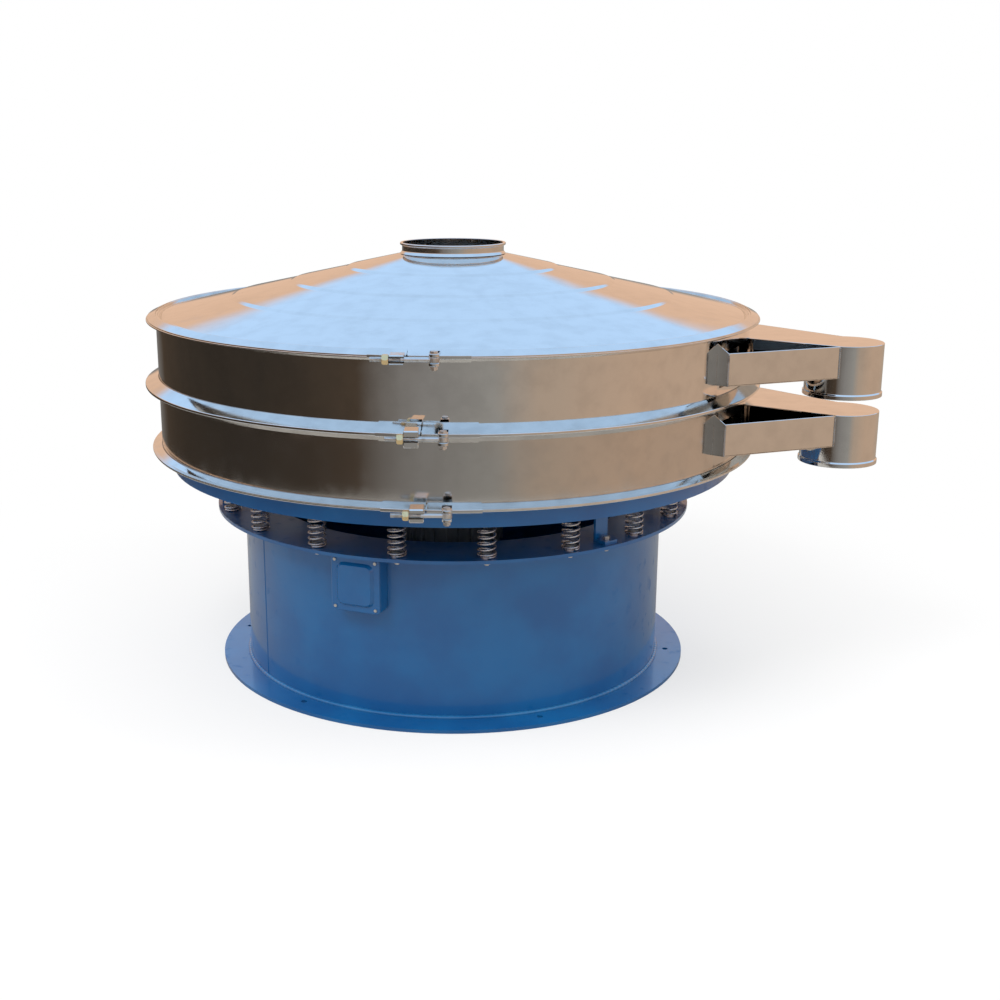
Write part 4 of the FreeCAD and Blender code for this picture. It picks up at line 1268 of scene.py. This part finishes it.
@dataclass
class Lid(SubAssembly):
    """Domed lid of stepped cones with rounded ridges, its gutter and clamped rim, and the feed collar."""

    plate: float = 0.002
    half_gasket: float = 0.001
    inner_r: float = 0.897
    gutter_r: float = 0.891
    edge_r: float = 0.883
    edge_rise: float = 0.009
    ridges: tuple[float, ...] = (0.666, 0.487, 0.317)
    run: float = 0.012
    rise: float = 0.006
    slope: float = math.radians(12.2)
    bore: float = 0.1535
    collar: float = 0.156
    rim_low: float = 0.0045
    rim_high: float = 0.0141
    steps: int = 384
    arc_steps: int = 7
    face_round: float = 0.002
    rim_round: float = 0.0012
    gutter_round: float = 0.004
    edge_round: float = 0.006
    ridge_round: float = 0.022
    collar_foot: float = 1.3
    collar_neck: float = 1.4
    collar_rim: float = 1.2
    collar_rounds: tuple[float, ...] = (0, 0.0004, 0.006, 0.002, 0.0025, 0.0025, 0.0012)

    def build(self) -> None:
        """Make the lid and its collar."""
        joint = Spot.of_joint("top_bolt_swing").level
        face = joint + self.half_gasket
        tip = Round.of("lid").radius
        rim = [(tip, face), (tip, joint + self.rim_low), (self.inner_r, joint + self.rim_high)]
        gutter = [(self.inner_r, face + self.plate), (self.gutter_r, face + self.plate)]
        line = self._line(joint)
        under = [(r, z - self.plate) for r, z in reversed(line)]
        corners = [(self.gutter_r, face), *rim, *gutter, *line, *under]
        rounds = self._rounds(line)
        radii = [self.face_round, *[self.rim_round] * 3, *[self.gutter_round] * 2, *rounds, *reversed(rounds)]
        section = softened(np.array(corners), np.array(radii), self.arc_steps)
        work = closed_ring(Sheetwork(), section, self.steps)
        fit_piece(work, "lid_dome", TABLE, Slot.POLISHED_STEEL, LID_FINISH, ["lid"])
        self._collar()

    def _line(self, joint: float) -> list[tuple[float, float]]:
        """Give the upper line's corners from the edge to the collar."""
        radius, height = self.edge_r, joint + self.edge_rise
        line = [(radius, height)]
        for ridge in self.ridges:
            foot = ridge + self.run
            height += math.tan(self.slope) * (radius - foot)
            line += [(foot, height), (ridge, height + self.rise)]
            radius, height = ridge, height + self.rise
        line.append((self.bore, height + math.tan(self.slope) * (radius - self.bore)))
        return line

    def _rounds(self, line: Sequence[Any]) -> list[float]:
        """Give each corner of the upper line its rounding: wide at the ridges, none at the bore."""
        return [self.edge_round, *[self.ridge_round] * (len(line) - 2), 0.0]

    def _collar(self) -> None:
        """Make the feed collar: a foot fillet, a straight wall and a rolled rim."""
        size = Round.of("inlet_collar")
        flare = size.radius - self.collar
        corners = [
            (self.bore, size.low),
            (self.collar + flare, size.low),
            (self.collar, size.low + self.collar_foot * flare),
            (self.collar, size.high - self.collar_neck * flare),
            (size.radius, size.high - self.collar_rim * flare),
            (size.radius, size.high),
            (self.bore, size.high),
        ]
        section = softened(np.array(corners), np.array(self.collar_rounds), 5)
        work = closed_ring(Sheetwork(), section, self.steps // 2)
        fit_piece(work, "feed_collar", TABLE, Slot.POLISHED_STEEL, TRIM, ["inlet_collar"])


@dataclass
class Clamp(SubAssembly):
    """Clamp band round one joint, with its doublers, ears, fork lug and swing-bolt closure.

    The closure's own frame has +X outwards through the pivot and its bolt along -Y.
    """

    joint: str
    height: float
    flat: float
    reach: float
    fork_height: float
    mouth_r: float = 0.904
    wall: float = 0.003
    leg: float = 0.0034
    stand: float = 0.040
    doubler: float = 0.003
    doubler_from: float = math.radians(-10.5)
    doubler_to: float = math.radians(5.5)
    doubler_steps: int = 9
    split: float = 0.004
    split_after_fork: float = 0.0225
    eye_r: float = 0.012
    eye_bore: float = 0.0064
    eye_half: float = 0.007
    ear: float = 0.008
    ear_fit: float = 0.0004
    ear_half: float = 0.013
    fork_half: float = 0.0185
    fork_reach: float = 0.010
    slot_half: float = 0.0073
    shank_r: float = 0.0065
    nut_gap: float = 0.0009
    nut_length: float = 0.016
    nut_r: float = 0.0139
    nut_bore: float = 0.0067
    tail: float = 0.030
    pitch: float = 0.00175
    thread_depth: float = 0.001
    neck_share: float = 0.8
    plain_share: float = 0.6
    eye_round: float = 0.0018
    ear_round: float = 0.011
    ear_edge: float = 0.001
    block_edge: float = 0.0008
    fork_edge: float = 0.0014
    fork_tip: float = 0.003
    shank_sides: int = 20
    channel_rounds: tuple[float, ...] = (0.0024, 0.0014, 0.001, 0.002)

    def __post_init__(self) -> None:
        """Read the closure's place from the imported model."""
        self.spot = Spot.of_joint(f"{self.joint}_bolt_swing")
        self.axis = self.spot.radius
        self.band_r = self.axis - self.stand

    def build(self) -> None:
        """Make the band with its lugs, the swing bolt and the nut."""
        band = self._band()
        self._lugs(band)
        self._fit(band, "clamp_band", TABLE, Slot.POLISHED_STEEL, TRIM, f"{self.joint}_band")
        bolt_body, bolt_node = f"{self.joint}_swing_bolt", f"{self.joint}_eye_bolt"
        self._fit(self._bolt(), "swing_bolt_turned", bolt_body, Slot.ZINC_STEEL, ZINC, bolt_node)
        low = self.reach + self.fork_half + self.nut_gap
        rows = nut(self.nut_bore, self.nut_r, low, low + self.nut_length)
        rows = shifted(sideways(rows), x=self.axis)
        turned_nut = Sheetwork().grid(rows, close_rows=True, close_columns=True)
        nut_body, nut_node = f"{self.joint}_nut", f"{self.joint}_closure_nut"
        self._fit(turned_nut, "clamp_nut", nut_body, Slot.BRASS_METAL, BRASS, nut_node)

    def _fit(self, work: Sheetwork, what: str, body: str, slot: Slot, finish: Finish, node: str) -> None:
        """Carry a piece to the closure's place and fit it."""
        work.moved(self.spot.set_out)
        fit_piece(work, f"{self.joint}_{what}", body, slot, finish, [node])

    def _section(self, grow: float) -> Array:
        """Give the band's channel section, its outside grown by a doubler's thickness."""
        half, flat = self.height / 2, self.flat / 2
        slope = (half - flat) / (self.band_r - self.mouth_r)
        inner_r = self.band_r - self.wall
        inner = half - self.leg - slope * (inner_r - self.mouth_r)
        upper = [
            (self.band_r + grow, flat + grow / 2), (self.mouth_r, half + grow),
            (self.mouth_r, half - self.leg), (inner_r, inner),
        ]
        lower = [(r, -z) for r, z in reversed(upper)]
        rounds = self.channel_rounds + self.channel_rounds[::-1]
        return softened(np.array(upper + lower), np.array(rounds), 4)

    def _band(self) -> Sheetwork:
        """Sweep the band from one side of its split to the other, and the doublers beside it."""
        at = math.asin((self.split_after_fork - self.reach) / self.band_r)
        gap = self.split / 2 / self.band_r
        angles = np.linspace(at + gap, at + TAU - gap, ROUND_STEPS + 1)
        work = open_ring(Sheetwork(), self._section(0.0), angles)
        for start, end in ((self.doubler_from, at - gap), (at + gap, self.doubler_to)):
            open_ring(work, self._section(self.doubler), np.linspace(start, end, self.doubler_steps))
        return work

    def _lugs(self, work: Sheetwork) -> None:
        """Add the two ears with the block between them, and the fork lug."""
        root = self.band_r - self.wall / 2
        low = self.eye_half + self.ear_fit
        high = low + self.ear
        end = self.axis + self.ear_half
        square = box_outline(root, end, -self.ear_half, self.ear_half)
        ear = softened(square, np.array([0, self.ear_round, self.ear_round, 0]), 6)
        for way in (-1, 1):
            levels = sorted((way * low, way * high))
            work.solid(slab(ear, *levels, self.ear_edge))
        back = self.axis - self.eye_r - 2 * self.ear_fit
        block = box_outline(root, back, -self.ear_half, self.ear_half)
        work.solid(slab(block, -high, high, self.block_edge))
        near, far = self.reach - self.fork_half, self.reach + self.fork_half
        work.solid(sideways(slab(self._fork_outline(root), near, far, self.fork_edge)))

    def _fork_outline(self, root: float) -> Array:
        """Give the fork's outline across the bolt: a block with a round-bottomed slot open outwards."""
        half, slot, end = self.fork_height / 2, self.slot_half, self.axis + self.fork_reach
        angle = -np.linspace(0.5, 1.5, 9) * math.pi
        notch = np.column_stack([self.axis + slot * np.cos(angle), slot * np.sin(angle)])
        tip = self.fork_tip
        lower = [(root, -half), (end - tip, -half), (end, tip - half), (end, -slot)]
        upper = [(end, slot), (end, half - tip), (end - tip, half), (root, half)]
        return np.vstack([lower, notch, upper])

    def _bolt(self) -> Sheetwork:
        """Make the swing bolt: a turned eye and a shank whose outer part is threaded."""
        r, half = self.eye_r, self.eye_half
        eye = np.array([(self.eye_bore, -half), (r, -half), (r, half), (self.eye_bore, half)])
        work = closed_ring(Sheetwork(), softened(eye, self.eye_round, 3), 40)
        plain_end = self.reach - self.plain_share * self.fork_half
        end = self.reach + self.fork_half + self.nut_gap + self.nut_length + self.tail
        root_r = self.shank_r - self.thread_depth
        outline = np.array([
            (self.shank_r, self.neck_share * r),
            (self.shank_r, plain_end),
            (root_r, plain_end + self.thread_depth),
        ])
        work.solid(sideways(turned(outline, around(self.shank_sides))))
        work.solid(sideways(threaded(self.shank_r, plain_end, end, self.pitch, self.thread_depth)))
        return work.moved(lambda points: shifted(points, x=self.axis))


def finish_plain_nodes() -> None:
    """Give the nodes that stay as packed their slots' finishes."""
    finishes = {slot.value[0]: slot.value[1] for slot in Slot}
    for entry in frame["record"]["subparts"]:
        mesh = frame["nodes"][entry["node"]].data
        mesh.materials.clear()
        mesh.materials.append(finishes[entry["material_slot"]].material())


# ---------------------------------------------------------------- studio

@dataclass(frozen=True)
class Lamp:
    """A square soft lamp."""

    name: str
    place: Point
    size: float
    power: float


WHITE = (1.0, 1.0, 1.0)


@dataclass
class Studio:
    """Pale floor, plain white surroundings for the camera, a painted reflection of a sky and yard that only glossy
    rays see, and soft light, with the camera at head height.
    """

    floor_r: float = 2.8
    eye: Point = (0.0, -4.309, 1.6185)
    pitch: float = math.radians(15.32)
    lens: float = 49.88
    shift: tuple[float, float] = (0.0471, 0.0119)
    # Painted reflection: colours that only glossy rays see, a sky above a tan horizon band over a ground that runs
    # from near black at -X through grey to tan at +X.
    sky: Colour = (0.56, 0.82, 1.18)
    horizon: Colour = (0.81, 0.54, 0.38)
    light: float = 0.9
    ground: tuple[tuple[float, Colour], ...] = (
        (0.0, (0.035, 0.028, 0.022)), (0.22, (0.07, 0.05, 0.035)), (0.40, (0.25, 0.24, 0.23)),
        (0.62, (0.32, 0.31, 0.29)), (0.78, (0.46, 0.36, 0.28)), (1.0, (0.56, 0.40, 0.29)),
    )
    wobble_scale: float = 2.6
    ground_wobble: float = 0.16
    horizon_wobble: float = 0.05
    sky_wobble: float = 0.22
    horizon_band: tuple[float, float] = (-0.03, 0.03)
    sky_band: tuple[float, float] = (0.27, 0.36)
    floor_depth: float = 0.0005
    # Painted shade: the floor's grey for all rays but the camera's, darker than the camera sees it, so mirrors
    # show a darker floor.
    floor_mirrored: Colour = (0.40, 0.39, 0.37)
    floor_seen: Colour = (0.86, 0.86, 0.86)
    fade_band: tuple[float, float] = (0.45, 0.95)
    floor_glow: float = 0.55
    aim: Point = (0.0, 0.0, 0.6)
    lamps: tuple[Lamp, ...] = (
        Lamp("key_lamp", (-2.6, -3.0, 5.2), 3.0, 190.0),
        Lamp("side_lamp", (3.6, -1.0, 4.2), 2.4, 70.0),
    )

    def build(self) -> None:
        """Set the stage."""
        self._world()
        self._floor()
        self._lamps()
        self._camera()
        bpy.context.scene.view_settings.view_transform = "Standard"

    def _world(self) -> None:
        """Make white for the camera, a painted reflection of a sky over warm ground for glossy rays, and even
        light for the rest.
        """
        world = bpy.data.worlds.new("studio")
        bpy.context.scene.world = world
        world.use_nodes = True
        shader = Shader(world.node_tree)
        way = shader.place()
        axes = shader.node("ShaderNodeSeparateXYZ", None, {0: way}).socket.node
        across, height = Wire(shader, axes.outputs[0]), Wire(shader, axes.outputs[2])
        # Painted reflection for glossy rays: the sky, the tan horizon band and the ground that darkens to near
        # black at -X are colours here, not things in the studio.
        wobble = shader.noise(self.wobble_scale, 3.0, way) - 0.5
        place = across * 0.5 + 0.5 + wobble * self.ground_wobble
        ground = shader.node("ShaderNodeValToRGB", {"stops": self.ground}, {0: place})
        above_painted_ground = (height + wobble * self.horizon_wobble).between(*self.horizon_band)
        painted_low_band = shader.mix(above_painted_ground, ground, self.horizon)
        in_painted_sky = (height + wobble * self.sky_wobble).between(*self.sky_band)
        painted_reflection = shader.mix(in_painted_sky, painted_low_band, self.sky)
        rays = shader.node("ShaderNodeLightPath").socket.node
        glossy = Wire(shader, rays.outputs["Is Glossy Ray"])
        camera = Wire(shader, rays.outputs["Is Camera Ray"])
        grey_light_or_painted_reflection = shader.mix(glossy, (self.light,) * 3, painted_reflection)
        colour = shader.mix(camera, grey_light_or_painted_reflection, WHITE)
        background = shader.node("ShaderNodeBackground", None, {"Color": colour, "Strength": 1.0})
        shader.node("ShaderNodeOutputWorld", None, {"Surface": background})

    def _floor(self) -> None:
        """Lay a pale disc that takes the shadow and fades to white at its edge. Rays other than the camera's see
        it a darker grey, a painted darker floor in reflections and bounce light.
        """
        work = Sheetwork().cap(turned(np.array([[self.floor_r, -self.floor_depth]]), around(96))[0])
        floor = bpy.data.objects.new("floor", work.mesh("floor", outwards=False))
        bpy.context.scene.collection.objects.link(floor)
        made = bpy.data.materials.new("floor")
        made.use_nodes = True
        shader = Shader(made.node_tree)
        from_middle = {0: shader.place()}
        away = shader.node("ShaderNodeVectorMath", {"operation": "LENGTH"}, from_middle, output="Value")
        rays = shader.node("ShaderNodeLightPath").socket.node
        camera = Wire(shader, rays.outputs["Is Camera Ray"])
        # Painted shade: rays other than the camera's see the floor darker than the camera does.
        tone = shader.mix(camera, self.floor_mirrored, self.floor_seen)
        diffuse = shader.node("ShaderNodeBsdfDiffuse", None, {"Color": tone})
        white = shader.node("ShaderNodeEmission", None, {"Color": with_alpha(WHITE), "Strength": 1.0})
        fade_start, fade_end = (part * self.floor_r for part in self.fade_band)
        fade = away.between(fade_start, fade_end)
        share = camera * (self.floor_glow + fade * (1 - self.floor_glow))
        surface = shader.node("ShaderNodeMixShader", None, {0: share, 1: diffuse, 2: white})
        shader.node("ShaderNodeOutputMaterial", None, {"Surface": surface})
        floor.data.materials.append(made)

    def _lamps(self) -> None:
        """Hang one wide soft lamp over the front left and a weaker one at the right."""
        for lamp in self.lamps:
            light = bpy.data.lights.new(lamp.name, "AREA")
            light.size = lamp.size
            light.energy = lamp.power
            made = bpy.data.objects.new(lamp.name, light)
            made.location = lamp.place
            x, y, z = np.array(self.aim) - np.array(lamp.place)
            made.rotation_euler = (math.atan2(math.hypot(x, y), -z), 0, math.atan2(-x, y))
            made.visible_glossy = False
            bpy.context.scene.collection.objects.link(made)

    def _camera(self) -> None:
        """Stand the camera at head height, level across and tipped down."""
        lens = bpy.data.cameras.new("camera")
        lens.lens = self.lens
        lens.shift_x, lens.shift_y = self.shift
        made = bpy.data.objects.new("camera", lens)
        made.location = self.eye
        made.rotation_euler = (math.pi / 2 - self.pitch, 0, 0)
        bpy.context.scene.collection.objects.link(made)
        bpy.context.scene.camera = made


def machine() -> list[SubAssembly]:
    """List the machine's sub-assemblies."""
    upper, lower = Spout("upper_spout"), Spout("lower_spout")
    return [
        Drum(),
        Springs(),
        JunctionBox(),
        SieveFrame("upper_frame", upper, MIRROR),
        SieveFrame("lower_frame", lower, DULL_MIRROR),
        upper,
        lower,
        Lid(),
        Clamp("top", 0.029, 0.006, 0.092, 0.024),
        Clamp("middle", 0.047, 0.007, 0.079, 0.044),
        Clamp("bottom", 0.028, 0.006, 0.076, 0.036),
    ]


def main() -> None:
    """Build the looks."""
    logging.basicConfig(level=logging.INFO, format="%(name)s: %(message)s")
    finish_plain_nodes()
    for part in machine():
        part.build()
    Studio().build()


if __name__ == "__main__":
    main()
